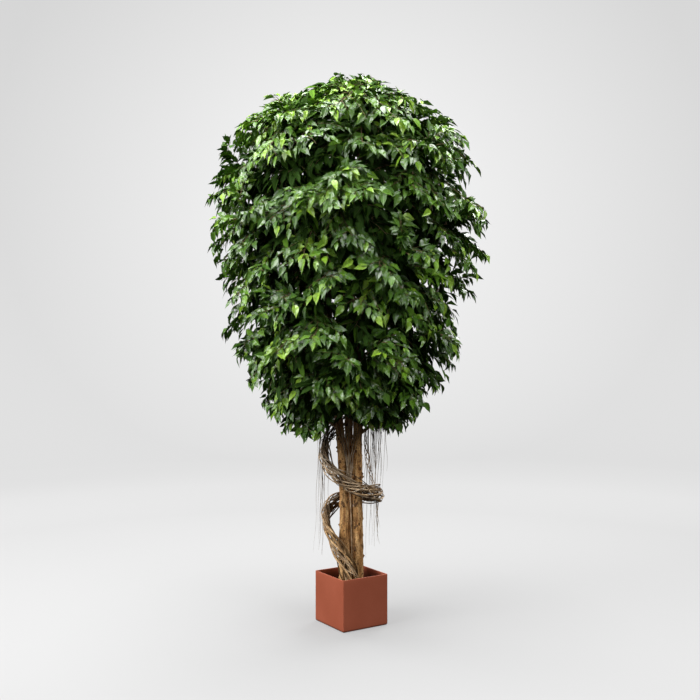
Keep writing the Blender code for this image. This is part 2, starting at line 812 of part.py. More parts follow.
def main():
    clear_scene()
    make_pot()
    thicket = Thicket()
    cutters = {}
    sockets = bmesh.new()
    for name, rows in TRUNKS.items():
        bm = bmesh.new()
        trunk_tube(bm, rows)
        thicket.add(name, BVHTree.FromBMesh(bm))
        add_object(name, bm, "bark")
        fat = bmesh.new()
        trunk_tube(fat, rows, GAP)
        trunk_tube(sockets, rows, GAP)
        cutters[name] = make_guide(add_object(name + "_cutter", fat, "bark"))
    climbers = {"liana_%d" % (number + 1): liana_path(number) for number in range(LIANA_COUNT)}
    climbers["vine"] = vine_path()
    for number, (name, path) in enumerate(climbers.items()):
        bm = bmesh.new()
        liana_tube(bm, path, number)
        thicket.add(name, BVHTree.FromBMesh(bm))
        add_object(name, bm, "liana_bark")
        liana_tube(sockets, path, number, GAP)
    make_soil(make_guide(add_object("soil_cutter", sockets, "soil")))
    for name in LIMBS:
        make_limb(name, cutters, thicket)
    draw = random.Random(SEED)
    boughs = [start_bough(number, *spot, thicket) for number, spot in enumerate(crown_spots(), 1)]
    for bough in boughs:
        add_twigs(bough, draw, thicket)
    leaves = 0
    for bough in boughs:
        leaves += add_leaves(bough, draw, thicket)
        bmesh.ops.triangulate(bough["bm"], faces=bough["bm"].faces)
        stem = add_object(bough["name"], bough["bm"], "leaf_green", smooth=False)
        cut_away(stem, cutters[bough["trunk"]])
    print(len(boughs), "boughs with", leaves, "leaves")


main()
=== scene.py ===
# %% [markdown]
# A potted ficus tree, dressed for its picture.
# The frame holds plain solids at their real size: the planter, its filling, three trunks, a rope of lianas,
# two bare limbs with aerial roots, and the leafy boughs.
# This lesson covers each of them with a finer surface that keeps its place. Every surface is worked out with
# numpy as whole arrays, because a tree repeats a few simple shapes thousands of times.
# Metres, +Z up. The origin is the centre of the planter's underside.

import math

import bpy
import mathutils
import numpy as np
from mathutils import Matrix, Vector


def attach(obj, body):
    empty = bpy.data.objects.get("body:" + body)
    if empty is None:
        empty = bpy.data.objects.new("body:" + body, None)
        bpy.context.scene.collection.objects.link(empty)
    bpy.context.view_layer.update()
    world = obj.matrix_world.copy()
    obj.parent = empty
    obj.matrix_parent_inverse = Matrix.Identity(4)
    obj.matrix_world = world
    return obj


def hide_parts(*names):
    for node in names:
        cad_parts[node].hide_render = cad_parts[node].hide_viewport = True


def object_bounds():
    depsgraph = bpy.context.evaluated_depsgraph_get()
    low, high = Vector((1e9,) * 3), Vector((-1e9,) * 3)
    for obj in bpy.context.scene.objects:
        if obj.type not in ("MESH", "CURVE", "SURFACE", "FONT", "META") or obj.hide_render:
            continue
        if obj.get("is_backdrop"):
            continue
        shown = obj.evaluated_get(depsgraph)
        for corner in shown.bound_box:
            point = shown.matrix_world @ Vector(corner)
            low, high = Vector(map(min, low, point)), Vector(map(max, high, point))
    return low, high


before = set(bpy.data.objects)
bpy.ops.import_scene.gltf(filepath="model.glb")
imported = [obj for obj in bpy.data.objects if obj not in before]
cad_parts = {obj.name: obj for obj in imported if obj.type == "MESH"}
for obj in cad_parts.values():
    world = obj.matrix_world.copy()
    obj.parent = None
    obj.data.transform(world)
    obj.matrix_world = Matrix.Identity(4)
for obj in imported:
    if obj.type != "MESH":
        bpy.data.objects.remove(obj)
cad_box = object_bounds()
cad_size = np.array(cad_box[1]) - np.array(cad_box[0])
print("frame:", len(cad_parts), "nodes,", np.round(cad_size, 3), "m")

# %% [markdown]
# The tree is laid out in its own axes: x across its broad view, y to the back. It stands askew in the
# planter, so everything that grows is turned once, at the end, by the same angle.
# The sizes below are the ones that the solids were built from. Only the planter's foot is rounder here.

# %% Sizes of the planter and its filling
TREE_TURN = math.radians(-33)
UP, ACROSS = np.array([0.0, 0.0, 1.0]), np.array([1.0, 0.0, 0.0])

POT_SIDE, POT_HEIGHT, POT_WALL = 0.258, 0.250, 0.005
POT_EDGE_RADIUS, POT_FOOT_RADIUS = 0.004, 0.012
SOIL_TOP, SOIL_MOUND = 0.165, 0.008
GAP = 0.0003

# %% Routes of the trunks: x, y, z and radius
TRUNKS = {
    "trunk_right": (
        (0.036, -0.010, 0.020, 0.0265), (0.035, -0.008, 0.250, 0.0245), (0.033, -0.010, 0.600, 0.0240),
        (0.032, -0.006, 1.000, 0.0230), (0.050, -0.010, 1.400, 0.0190), (0.060, -0.025, 1.850, 0.0145),
        (0.035, -0.020, 2.380, 0.0075),
    ),
    "trunk_left": (
        (-0.036, -0.014, 0.020, 0.0270), (-0.034, -0.014, 0.300, 0.0255), (-0.035, -0.010, 0.620, 0.0240),
        (-0.052, -0.008, 0.900, 0.0220), (-0.080, -0.005, 1.150, 0.0190), (-0.110, -0.015, 1.600, 0.0150),
        (-0.090, -0.020, 2.250, 0.0075),
    ),
    "trunk_back": (
        (-0.004, 0.054, 0.020, 0.0230), (-0.008, 0.054, 0.400, 0.0215), (-0.012, 0.058, 0.900, 0.0200),
        (0.000, 0.090, 1.300, 0.0175), (0.005, 0.120, 1.750, 0.0140), (-0.010, 0.100, 2.300, 0.0075),
    ),
}

# %% Routes of the lianas, the single vine and the bare limbs
LIANA_ROUTE = (
    (0.016, -0.076, 0.090), (0.006, -0.080, 0.190), (-0.014, -0.084, 0.290), (-0.056, -0.078, 0.368),
    (-0.094, -0.058, 0.432), (-0.120, -0.020, 0.490), (-0.118, 0.040, 0.548), (-0.085, 0.090, 0.580),
    (-0.030, 0.116, 0.598), (0.030, 0.116, 0.610), (0.090, 0.092, 0.616), (0.140, 0.036, 0.624),
    (0.122, -0.042, 0.642), (0.058, -0.078, 0.664), (-0.008, -0.082, 0.692), (-0.070, -0.072, 0.733),
    (-0.118, -0.036, 0.785), (-0.135, 0.020, 0.850), (-0.112, 0.078, 0.920), (-0.056, 0.116, 0.985),
    (0.012, 0.128, 1.040), (0.072, 0.094, 1.100), (0.108, 0.040, 1.170), (0.112, 0.010, 1.260),
)
LIANA_COUNT, LIANA_RADIUS = 7, 0.0038
LIANA_ROWS, LIANA_SHORTEST = 34, 4
ROPE_HALF_WIDTH, ROPE_HALF_DEPTH, ROPE_TURNS = 0.027, 0.0125, 3.2
VINE_ROUTE = (
    (0.000, -0.034, 0.090), (0.002, -0.036, 0.260), (0.003, -0.034, 0.420), (-0.001, -0.037, 0.560),
    (-0.008, -0.036, 0.700), (-0.012, -0.038, 0.840), (-0.010, -0.044, 0.960), (-0.004, -0.052, 1.050),
)
LIMBS = {
    "limb_right": (
        (0.032, -0.006, 0.925), (0.085, -0.004, 0.965), (0.140, 0.000, 1.020), (0.205, 0.000, 1.060),
    ),
    "limb_left": (
        (-0.056, -0.008, 0.955), (-0.100, -0.014, 0.985), (-0.145, -0.012, 1.010), (-0.205, -0.010, 1.035),
    ),
}
LIMB_RADIUS, LIMB_TIP_RADIUS = 0.0085, 0.0055

# %% Outline of the crown, and how its boughs fork
# Rows of height and radius
CROWN = np.array([
    (0.930, 0.26), (1.000, 0.35), (1.100, 0.42), (1.200, 0.51), (1.300, 0.58), (1.500, 0.62),
    (1.650, 0.65), (1.800, 0.66), (1.920, 0.70), (2.020, 0.72), (2.180, 0.69), (2.330, 0.63),
    (2.480, 0.55), (2.580, 0.45), (2.680, 0.27), (2.725, 0.06),
])
BOUGHS = 25
BOUGH_RADIUS = 0.0095
FIRST_FORK, LAST_FORK = 1.075, 2.24
FORK_DROP, FORK_SLOPE, FORK_SHARE = 0.10, 0.42, 0.58
FORKS_BY_HAND = {
    3: ("trunk_left", 1.075), 4: ("trunk_back", 1.110), 5: ("trunk_left", 1.110),
    6: ("trunk_right", 1.095), 7: ("trunk_back", 1.165), 25: ("trunk_left", 2.240),
}
BOUGH_LIFT, BOUGH_ARCH, BOUGH_CREST = 0.30, 0.22, 0.07
TIP_INSET = 0.060
GOLDEN_ANGLE = math.pi * (3 - math.sqrt(5))

# %% [markdown]
# Three small tools make every surface here.
# A smooth line runs through a few points. A skin wraps rings of points round many such lines at once, which
# serves a trunk as well as a leaf: a leaf is a very flat tube of four-cornered rings.
# The last tool hands the arrays to Blender in one go, which is far quicker than adding faces one by one.


# %% A smooth line through a few points
def read_between(where, places, rows):
    """Each column of a table, read between its rows along straight lines."""
    return np.stack([np.interp(where, places, rows[:, k]) for k in range(rows.shape[1])], axis=-1)


def smooth_line(points, count):
    """Even points on the Catmull-Rom curve: each stretch is the cubic that leaves and reaches its end points
    along the chords of their neighbours. Evenness comes from reading the curve again by its length."""
    rows = np.asarray(points, float)
    padded = np.vstack([rows[:1], rows, rows[-1:]])
    share = np.linspace(0, len(rows) - 1 - 1e-9, 400)
    i = share.astype(int)
    t = (share - i)[:, None]
    a, b, c, d = (padded[i + k] for k in range(4))
    fine = 0.5 * (2 * b + (c - a) * t + (2 * a - 5 * b + 4 * c - d) * t**2 + (3 * b - a - 3 * c + d) * t**3)
    steps = np.linalg.norm(np.diff(fine[:, :3], axis=0), axis=1)
    length = np.concatenate([[0], np.cumsum(steps)])
    return read_between(np.linspace(0, length[-1], count), length, fine)


def unit(vectors):
    """Each vector over its own length."""
    return vectors / np.maximum(np.linalg.norm(vectors, axis=-1, keepdims=True), 1e-12)


def square_to(ahead, vectors):
    """The vectors without their part along the unit vectors ahead, each over its own length."""
    return unit(vectors - ahead * np.sum(vectors * ahead, axis=-1, keepdims=True))


def even_turns(count):
    """Angles that share a full turn evenly."""
    return np.arange(count) * math.tau / count


def circle(turn):
    """Points on the unit circle: the cosine and the sine of each angle."""
    return np.stack([np.cos(turn), np.sin(turn)], axis=-1)


def level(turn):
    """Level directions: the cosine and the sine of each angle, and no rise."""
    return np.stack([np.cos(turn), np.sin(turn), 0 * turn], axis=-1)


print("route of the lianas:", len(smooth_line(LIANA_ROUTE, LIANA_ROWS)), "points")


# %% Rings round many lines, and the skin that closes them
def rings_round(lines, radii, guide, sides):
    """Rings of points: each point of a line, plus its radius times cos and sin of an even turn along two
    arms. The first arm is the guide direction, made square to the line. Shapes: lines (T, K, 3), radii
    (T, K, S), or (T, K, 1) for round rings."""
    ahead = unit(np.gradient(lines, axis=1))
    first = square_to(ahead, guide)
    second = np.cross(ahead, first)
    turn = even_turns(sides)[:, None]
    arms = first[..., None, :] * np.cos(turn) + second[..., None, :] * np.sin(turn)
    return lines[..., None, :] + arms * np.asarray(radii)[..., None]


def quads_of(*corners):
    """Quads from four arrays of corner numbers."""
    return np.stack(corners, axis=-1).reshape(-1, 4)


def fan_of(middle, ring, after):
    """Triangles from one middle to each edge of a ring."""
    return np.stack([np.full(len(ring), middle), ring, after], axis=-1)


def skin(rings, start, end):
    """Corners and faces of T closed tubes. Quads join ring to ring, and a fan at each end meets in one
    point. rings is (T, K, S, 3), start and end are (T, 3)."""
    tubes, rows, sides, _ = rings.shape
    points = np.concatenate([rings.reshape(tubes, -1, 3), start[:, None], end[:, None]], axis=1)
    here = np.arange(sides)
    after = (here + 1) % sides
    row = np.arange(rows - 1)[:, None] * sides
    quads = quads_of(row + here, row + after, row + sides + after, row + sides + here)
    last = (rows - 1) * sides
    fans = [fan_of(rows * sides, after, here), fan_of(rows * sides + 1, last + here, last + after)]
    fans = np.concatenate(fans)
    shift = (np.arange(tubes) * points.shape[1])[:, None, None]
    return points.reshape(-1, 3), (quads + shift).reshape(-1, 4), (fans + shift).reshape(-1, 3)


def tubes_round(lines, radii, guide, sides):
    """Closed tubes: rings round each line, closed at the line's own two ends."""
    return skin(rings_round(lines, radii, guide, sides), lines[:, 0], lines[:, -1])


# %% Arrays into a mesh
SINE, COSINE = math.sin(TREE_TURN), math.cos(TREE_TURN)
TURN = np.array([[COSINE, SINE, 0], [-SINE, COSINE, 0], [0, 0, 1]])


def lay_mesh(name, points, quads, triangles, turned=True, sharp=40):
    """A smooth-shaded object from arrays. The tree's own pieces are turned into the planter's axes."""
    mesh = bpy.data.meshes.new(name)
    corners = np.concatenate([quads.ravel(), triangles.ravel()]).astype(np.int32)
    sizes = np.concatenate([np.full(len(quads), 4), np.full(len(triangles), 3)])
    mesh.vertices.add(len(points))
    mesh.loops.add(len(corners))
    mesh.polygons.add(len(sizes))
    placed = points @ TURN if turned else points
    mesh.vertices.foreach_set("co", placed.astype(np.float32).ravel())
    mesh.loops.foreach_set("vertex_index", corners)
    mesh.polygons.foreach_set("loop_start", (np.cumsum(sizes) - sizes).astype(np.int32))
    mesh.update(calc_edges=True)
    mesh.shade_smooth()
    mesh.set_sharp_from_angle(angle=math.radians(sharp))
    made = bpy.data.objects.new(name, mesh)
    bpy.context.scene.collection.objects.link(made)
    return made


def mark(piece, name, values):
    """Keep one number or one vector for each point, for the materials to read."""
    values = np.asarray(values, np.float32)
    kind, field = ("FLOAT", "value") if values.ndim == 1 else ("FLOAT_VECTOR", "vector")
    piece.data.attributes.new(name, kind, "POINT").data.foreach_set(field, values.ravel())


def join_shapes(*shapes):
    """Several (points, quads, triangles) as one, with the face numbers shifted to match."""
    starts = np.cumsum([0] + [len(shape[0]) for shape in shapes])
    points = np.concatenate([shape[0] for shape in shapes])
    faces = [np.concatenate([shape[k] + start for shape, start in zip(shapes, starts)]) for k in (1, 2)]
    return points, *faces


print("one mesh tool for", len(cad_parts), "nodes to be dressed")


# %% [markdown]
# Bark and soil are lumpy at several scales. Soft noise gives such lumps: a random number sits at each whole
# point of a grid, and the space between is blended smoothly. It is written for whole arrays of points.


# %% Soft noise
LATTICE_SIZE = 32
LATTICE = np.random.default_rng(5).random((LATTICE_SIZE, LATTICE_SIZE, LATTICE_SIZE))


def soft_noise(points):
    """Value noise from -1 to 1: the eight lattice numbers round a point, blended with 3t^2 - 2t^3 along each
    axis."""
    low = np.floor(points).astype(int)
    t = points - low
    t = t * t * (3 - 2 * t)
    total = 0
    for corner in np.ndindex(2, 2, 2):
        weight = np.prod([t[..., k] if side else 1 - t[..., k] for k, side in enumerate(corner)], axis=0)
        place = tuple((low[..., k] + side) % LATTICE_SIZE for k, side in enumerate(corner))
        total = total + weight * LATTICE[place]
    return total * 2 - 1


print("noise at a point:", soft_noise(np.array([[0.5, 1.5, 2.5]])).round(3))

# %% [markdown]
# Materials are node trees on Blender's Principled shader. Each begins with the same steps, so one short
# builder makes the shader and wires nodes by name. Patterns read Object coordinates, in metres, or a number
# kept on the mesh, so they stay on the surface from every side.


# %% A small builder for materials
class Finish:
    """A material with its Principled shader, and short ways to add nodes to it."""

    def __init__(self, name, roughness, shine):
        self.material = bpy.data.materials.new(name)
        self.material.use_nodes = True
        self.tree = self.material.node_tree
        self.shader = self.tree.nodes["Principled BSDF"]
        self.shader.inputs["Roughness"].default_value = roughness
        self.shader.inputs["Specular IOR Level"].default_value = shine

    def join(self, source, target):
        self.tree.links.new(source, target)

    def fill(self, socket, item):
        """Set a socket to a number or a colour, or link it from another node's output."""
        if isinstance(item, (int, float)):
            socket.default_value = item
        elif isinstance(item, tuple):
            socket.default_value = (*item, 1)
        else:
            self.join(item, socket)

    def add(self, kind, values=None, **links):
        """A node with some sockets set by value and some linked from another node's output."""
        node = self.tree.nodes.new("ShaderNode" + kind)
        for socket, value in (values or {}).items():
            node.inputs[socket].default_value = value
        for socket, source in links.items():
            self.join(source, node.inputs[socket])
        return node

    def place(self, scale=(1, 1, 1)):
        """Object coordinates, stretched by a Mapping node."""
        where = self.add("TexCoord").outputs["Object"]
        return self.add("Mapping", {"Scale": scale}, Vector=where).outputs["Vector"]

    def kept(self, name):
        """The outputs that hold a number or a vector kept on the mesh."""
        node = self.add("Attribute")
        node.attribute_name = name
        return node.outputs

    def axes(self, vector):
        """The three numbers of a vector."""
        return tuple(self.add("SeparateXYZ", Vector=vector).outputs)

    def noise(self, scale, detail=3.0, where=None):
        """A grey noise pattern."""
        where = where or self.place()
        return self.add("TexNoise", {"Scale": scale, "Detail": detail}, Vector=where).outputs["Fac"]

    def fade(self, value, near, far, start, stop):
        """From start at the near value to stop at the far one."""
        limits = {"From Min": near, "From Max": far, "To Min": start, "To Max": stop}
        return self.add("MapRange", limits, Value=value).outputs["Result"]

    def ramp(self, source, stops):
        """Colours along a ramp: stops is a list of (place, colour)."""
        node = self.add("ValToRGB", Fac=source)
        steps = node.color_ramp.elements
        while len(steps) < len(stops):
            steps.new(0.5)
        for step, (place, colour) in zip(steps, stops):
            step.position = place
            step.color = (*colour, 1)
        return node.outputs["Color"]

    def math(self, operation, first, second=0.0):
        """Two numbers, or sockets, joined by an operation."""
        node = self.add("Math")
        node.operation = operation
        for slot, item in enumerate((first, second)):
            self.fill(node.inputs[slot], item)
        return node.outputs["Value"]

    def mix(self, share, low, high, blend="MIX"):
        """Two colours, or sockets, mixed by a share. A colour mix has its sockets at places 0, 6 and 7."""
        node = self.add("Mix")
        node.data_type = "RGBA"
        node.blend_type = blend
        for slot, item in ((0, share), (6, low), (7, high)):
            self.fill(node.inputs[slot], item)
        return node.outputs[2]

    def colour(self, source):
        self.join(source, self.shader.inputs["Base Color"])

    def rough(self, source):
        self.join(source, self.shader.inputs["Roughness"])

    def bump(self, height, depth):
        """Relief from a height pattern, with its depth in metres."""
        node = self.add("Bump", {"Strength": 1.0, "Distance": depth}, Height=height)
        self.join(node.outputs["Normal"], self.shader.inputs["Normal"])


print("materials start from", Finish.__name__)

# %% [markdown]
# The camera comes first, because every later choice is judged through it. It is level, at chest height, and
# far enough back that the planter's uprights stay parallel.
# Its place was found by fitting the planter's eight corners: the planter's height sets the scale.

# %% Camera
CAMERA_PLACE = (-0.006, -4.621, 1.345)
CAMERA_LENS = 48.2

camera = bpy.data.objects.new("camera", bpy.data.cameras.new("camera"))
bpy.context.scene.collection.objects.link(camera)
bpy.context.scene.camera = camera
camera.data.lens = CAMERA_LENS
camera.location = np.array(CAMERA_PLACE) @ TURN
camera.rotation_euler = (math.pi / 2, 0, TREE_TURN)
print("camera at", [round(value, 3) for value in camera.location])

# %% [markdown]
# The planter is a square box of thin sheet with a matt terracotta lacquer. A box with bevelled edges would
# do, but its upright corners, its foot and its rim each have a radius of their own.
# So it is a profile, foot to rim and down inside, carried round a square path with round corners.


# %% Planter surface
def rounded_square(half, radius, arc=6):
    """A square path with round corners: at each, the corner's centre plus radius times a quarter turn."""
    quarter = circle(np.linspace(0, math.pi / 2, arc)) * radius + (half - radius)
    spin = [np.array([[math.cos(a), -math.sin(a)], [math.sin(a), math.cos(a)]]) for a in even_turns(4)]
    return np.concatenate([quarter @ matrix.T for matrix in spin])


def arc_of(middle, radius, start, stop, count):
    """Points on an arc of the profile, as (inset from the side, height): middle plus radius x turn."""
    return np.array(middle) + radius * circle(np.radians(np.linspace(start, stop, count)))


RIM_RADIUS, LEAST_RADIUS = 0.0018, 0.001
POT_FLOOR = 0.005
WALL_ROWS = 12
foot = arc_of((POT_FOOT_RADIUS, POT_FOOT_RADIUS), POT_FOOT_RADIUS, 270, 180, 7)
rim_outside = arc_of((RIM_RADIUS, POT_HEIGHT - RIM_RADIUS), RIM_RADIUS, 180, 90, 5)
rim_inside = arc_of((POT_WALL - RIM_RADIUS, POT_HEIGHT - RIM_RADIUS), RIM_RADIUS, 90, 0, 5)
wall_heights = np.linspace(0.03, POT_HEIGHT - 0.02, WALL_ROWS)
outside = np.column_stack([np.zeros(WALL_ROWS), wall_heights])
inside = np.column_stack([np.full(WALL_ROWS, POT_WALL), wall_heights[::-1]])
profile = np.concatenate([foot, outside, rim_outside, rim_inside, inside, [(POT_WALL, POT_FLOOR)]])
print("planter profile:", len(profile), "points from foot to floor")

# %% Planter piece
# Painted shade: the lacquer is darkened inside, as shade from the walls, and at the foot, as a contact shadow
FOOT_SHADOW, RIM_SHADE = 0.8, 0.7
FOOT_SHADOW_HEIGHTS = (0.002, 0.012)
insets, heights = profile.T
corner_radii = np.maximum(POT_EDGE_RADIUS - insets, LEAST_RADIUS)
paths = [rounded_square(POT_SIDE / 2 - inset, radius) for inset, radius in zip(insets, corner_radii)]
rings = np.stack([np.insert(path, 2, height, axis=1) for path, height in zip(paths, heights)])
planter_skin = skin(rings[None], np.zeros((1, 3)), np.array([[0.0, 0.0, POT_FLOOR]]))
planter = lay_mesh("planter_shell", *planter_skin, turned=False)
rows_outside = len(profile) - len(inside) - 1
foot_shadow = np.interp(heights[:rows_outside], FOOT_SHADOW_HEIGHTS, [FOOT_SHADOW, 0.0])
inside_shade = np.interp(np.arange(len(inside) + 1), [0, 1], [RIM_SHADE, 1.0])
painted_shade = np.repeat(np.concatenate([foot_shadow, inside_shade]), rings.shape[1])
mark(planter, "painted_shade", np.append(painted_shade, [FOOT_SHADOW, 1.0]))
print("planter:", len(planter.data.polygons), "faces")

# %% [markdown]
# The lacquer is nearly even. What keeps it from looking flat is a faint drift in tone and a fine grain.
# Inside, it is painted dark as the shade of the walls, and its foot is painted dark as a contact shadow.
# A number on the mesh says how much.

# %% Planter finish
lacquer = Finish("terracotta_lacquer", 0.5, shine=0.25)
drift = lacquer.noise(6.0, 2.0)
tone = lacquer.ramp(drift, [(0.3, (0.392, 0.099, 0.050)), (0.7, (0.440, 0.116, 0.061))])
grain = lacquer.ramp(lacquer.noise(260.0, 2.0), [(0.35, (0.93, 0.93, 0.93)), (0.65, (1.0, 1.0, 1.0))])
# Painted shade: the lacquer is mixed towards dark brown by the number kept on the mesh
shade_share = lacquer.math("MULTIPLY", lacquer.kept("painted_shade")["Fac"], 0.88)
lacquer.colour(lacquer.mix(shade_share, lacquer.mix(1.0, tone, grain, "MULTIPLY"), (0.060, 0.016, 0.009)))
lacquer.rough(lacquer.fade(drift, 0, 1, 0.44, 0.58))
lacquer.bump(lacquer.noise(900.0, 2.0), 0.00006)
planter.data.materials.append(lacquer.material)
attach(planter, "root")
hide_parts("planter")
print("finished:", planter.name)

# %% [markdown]
# The filling lies well below the rim, in shade. It is dark potting soil with crumbs of bark.
# A grid lifted by noise at three sizes gives the crumbs real height, and a skirt takes it down to the floor.

# %% Soil
SOIL_CELLS = 64
CRUMB_HEIGHT, SMOOTH_EDGE = 0.0045, 0.995
half = POT_SIDE / 2 - POT_WALL - GAP
bottom = POT_WALL + GAP
across = np.linspace(-half, half, SOIL_CELLS)
x, y = np.meshgrid(across, across, indexing="ij")
edge = np.maximum(np.abs(x), np.abs(y)) / half
flat = np.stack([x, y, np.zeros_like(x)], axis=-1)
crumbs = 0.5 * soft_noise(flat * 60) + 0.35 * soft_noise(flat * 160) + 0.25 * np.abs(soft_noise(flat * 330))
z = SOIL_TOP + SOIL_MOUND * (1 - edge**2) + CRUMB_HEIGHT * crumbs * (edge < SMOOTH_EDGE)
index = np.arange(SOIL_CELLS**2).reshape(SOIL_CELLS, SOIL_CELLS)
top = quads_of(index[:-1, :-1], index[1:, :-1], index[1:, 1:], index[:-1, 1:])
border = np.concatenate([index[0, :-1], index[:-1, -1], index[-1, :0:-1], index[:0:-1, 0]])
skirt = np.column_stack([x.ravel()[border], y.ravel()[border], np.full(len(border), bottom)])
lower = SOIL_CELLS**2 + np.arange(len(border))
walls = quads_of(border, np.roll(border, -1), np.roll(lower, -1), lower)
floor_fan = fan_of(SOIL_CELLS**2 + len(border), lower, np.roll(lower, -1))
points = np.vstack([np.stack([x, y, z], axis=-1).reshape(-1, 3), skirt, [(0, 0, bottom)]])
soil = lay_mesh("soil_crumbs", points, np.concatenate([top, walls]), floor_fan, turned=False)
print("soil:", len(soil.data.polygons), "faces")

# %% Soil finish
SOIL_BROWNS = [(0.35, (0.012, 0.008, 0.005)), (0.7, (0.075, 0.045, 0.025))]
earth = Finish("potting_soil", 0.95, shine=0.2)
earth.colour(earth.ramp(earth.noise(170.0, 4.0), SOIL_BROWNS))
earth.bump(earth.noise(420.0, 4.0), 0.0008)
soil.data.materials.append(earth.material)
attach(soil, "root")
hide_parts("soil")
print("finished:", soil.name)

# %% [markdown]
# The trunks are natural poles: dry tan bark in long flakes, with scars and stubs where shoots were cut off.
# A smooth cylinder with a bark picture would give them a clean outline, which real poles never have.
# So the radius itself is a function of height and angle: slow waves, long flakes, and rows of small stubs.


# %% Trunk surface
TRUNK_SIDES = 40
SEEN_ROWS, HIDDEN_ROWS = 235, 40
SEEN_TOP = 1.12
# Each layer of noise: its share of the radius, then its scale round the stem and along it
WAVES = ((0.10, 1.1, 7), (0.085, 2.4, 24))
FLAKES = ((0.030, 7, 40), (0.018, 14, 150))
STUBS = 190
STUB_SIZES, STUB_STRETCH = (0.0026, 0.0058), 1.3
STUB_RISES, RISE_SHARES = (0.0038, 0.0078, -0.0034), (0.32, 0.20, 0.48)
MEAN_RADIUS, FULL_STUB = 0.023, 0.004


def layered_noise(around, layers, seed):
    """The sum of a few layers of soft noise, each stretched along the stem in its own way."""
    return sum(share * soft_noise(around * (wide, wide, tall) + seed) for share, wide, tall in layers)


def trunk_surface(rows, seed):
    """Radius at (row, angle) = table radius x (1 + waves + flakes) + stubs. A stub is a bell curve of height
    and angle round its middle. Returns the rings and how far each point lies on a stub or in a scar."""
    draw = np.random.default_rng(seed)
    line = smooth_line(rows, 1200)
    seen = np.linspace(rows[0][2], SEEN_TOP, SEEN_ROWS)
    hidden = np.linspace(SEEN_TOP, rows[-1][2], HIDDEN_ROWS + 1)[1:]
    line = read_between(np.concatenate([seen, hidden]), line[:, 2], line)
    angle = even_turns(TRUNK_SIDES)
    height = line[:, 2][:, None] + 0 * angle
    around = level(angle) + UP * height[..., None]
    stub_height = draw.uniform(rows[0][2] + 0.1, SEEN_TOP + 0.25, (STUBS, 1, 1))
    stub_angle = draw.uniform(0, math.tau, (STUBS, 1, 1))
    stub_size = draw.uniform(*STUB_SIZES, (STUBS, 1, 1))
    stub_rise = draw.choice(STUB_RISES, (STUBS, 1, 1), p=RISE_SHARES)
    turn = (angle - stub_angle + math.pi) % math.tau - math.pi
    far = (turn * MEAN_RADIUS / stub_size) ** 2 + ((height - stub_height) / stub_size / STUB_STRETCH) ** 2
    stub = np.sum(np.exp(-far) * stub_rise, axis=0)
    uneven = 1 + layered_noise(around, WAVES, seed) + layered_noise(around, FLAKES, seed)
    rings = rings_round(line[None, :, :3], (line[:, 3][:, None] * uneven + stub)[None], ACROSS, TRUNK_SIDES)
    return rings, (stub / FULL_STUB).ravel()


for seed, (name, rows) in enumerate(TRUNKS.items(), 3):
    rings, stub = trunk_surface(rows, seed)
    ends = np.array([rows[0][:3]]), np.array([rows[-1][:3]])
    trunk = lay_mesh(name + "_bark", *skin(rings, *ends), sharp=80)
    mark(trunk, "stub", np.append(stub, [0, 0]))
    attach(trunk, "root")
    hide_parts(name)
    print(trunk.name, len(trunk.data.polygons), "faces")

# %% [markdown]
# Dry bark changes from honey to grey-brown in long upright streaks. Stubs, scars and small pits are dark.
# The streaks are noise stretched along the height. The stubs are dark by a number kept on the mesh, the pits
# by a pattern of cells. Near the crown the bark darkens with height, which is painted shade from the crown.

# %% Bark finish
BARK_TANS = [(0.30, (0.22, 0.088, 0.024)), (0.46, (0.58, 0.305, 0.107)), (0.66, (0.86, 0.54, 0.24))]
bark = Finish("dry_bark", 0.82, shine=0.2)
streaks = bark.noise(1.0, 6.0, bark.place((60, 60, 10)))
patches = bark.noise(9.0, 3.0)
fibres = bark.noise(1.0, 4.0, bark.place((420, 420, 40)))
flecks = bark.noise(1.0, 3.0, bark.place((330, 330, 170)))
faded = bark.ramp(patches, [(0.45, (0, 0, 0)), (0.65, (0.25, 0.25, 0.25))])
lines = bark.ramp(fibres, [(0.35, (0.40, 0.36, 0.33)), (0.6, (1, 1, 1))])
tan = bark.mix(faded, bark.ramp(streaks, BARK_TANS), (0.32, 0.215, 0.115))
lined = bark.mix(0.85, tan, lines, "MULTIPLY")
spots = bark.ramp(flecks, [(0.36, (0.30, 0.22, 0.16)), (0.47, (1, 1, 1)), (0.70, (1.22, 1.18, 1.12))])
flecked = bark.mix(0.8, lined, spots, "MULTIPLY")
ragged = bark.math("MULTIPLY", bark.math("SUBTRACT", bark.noise(230.0, 4.0), 0.5), 1.3)
stub = bark.math("ADD", bark.math("ABSOLUTE", bark.kept("stub")["Fac"]), ragged)
cells = bark.add("TexVoronoi", {"Scale": 1.0}, Vector=bark.place((62, 62, 34))).outputs["Distance"]
pit = bark.math("ADD", cells, bark.math("ADD", ragged, bark.math("MULTIPLY", patches, 0.55)))
dark = bark.math("MAXIMUM", bark.fade(stub, 0.28, 0.78, 0.0, 0.88), bark.fade(pit, 0.32, 0.50, 0.80, 0.0))
# Painted shade: the bark darkens from 1 m up, under the crown
crown_shade = bark.fade(bark.axes(bark.place())[2], 1.0, 1.25, 0.0, 0.88)
bark.colour(bark.mix(crown_shade, bark.mix(dark, flecked, (0.085, 0.042, 0.020)), (0.055, 0.034, 0.018)))
bark.bump(bark.math("SUBTRACT", bark.math("ADD", bark.math("MULTIPLY", streaks, 2.0), fibres), dark), 0.0025)
for name in TRUNKS:
    bpy.data.objects[name + "_bark"].data.materials.append(bark.material)
print("finished:", len(TRUNKS), "trunks")

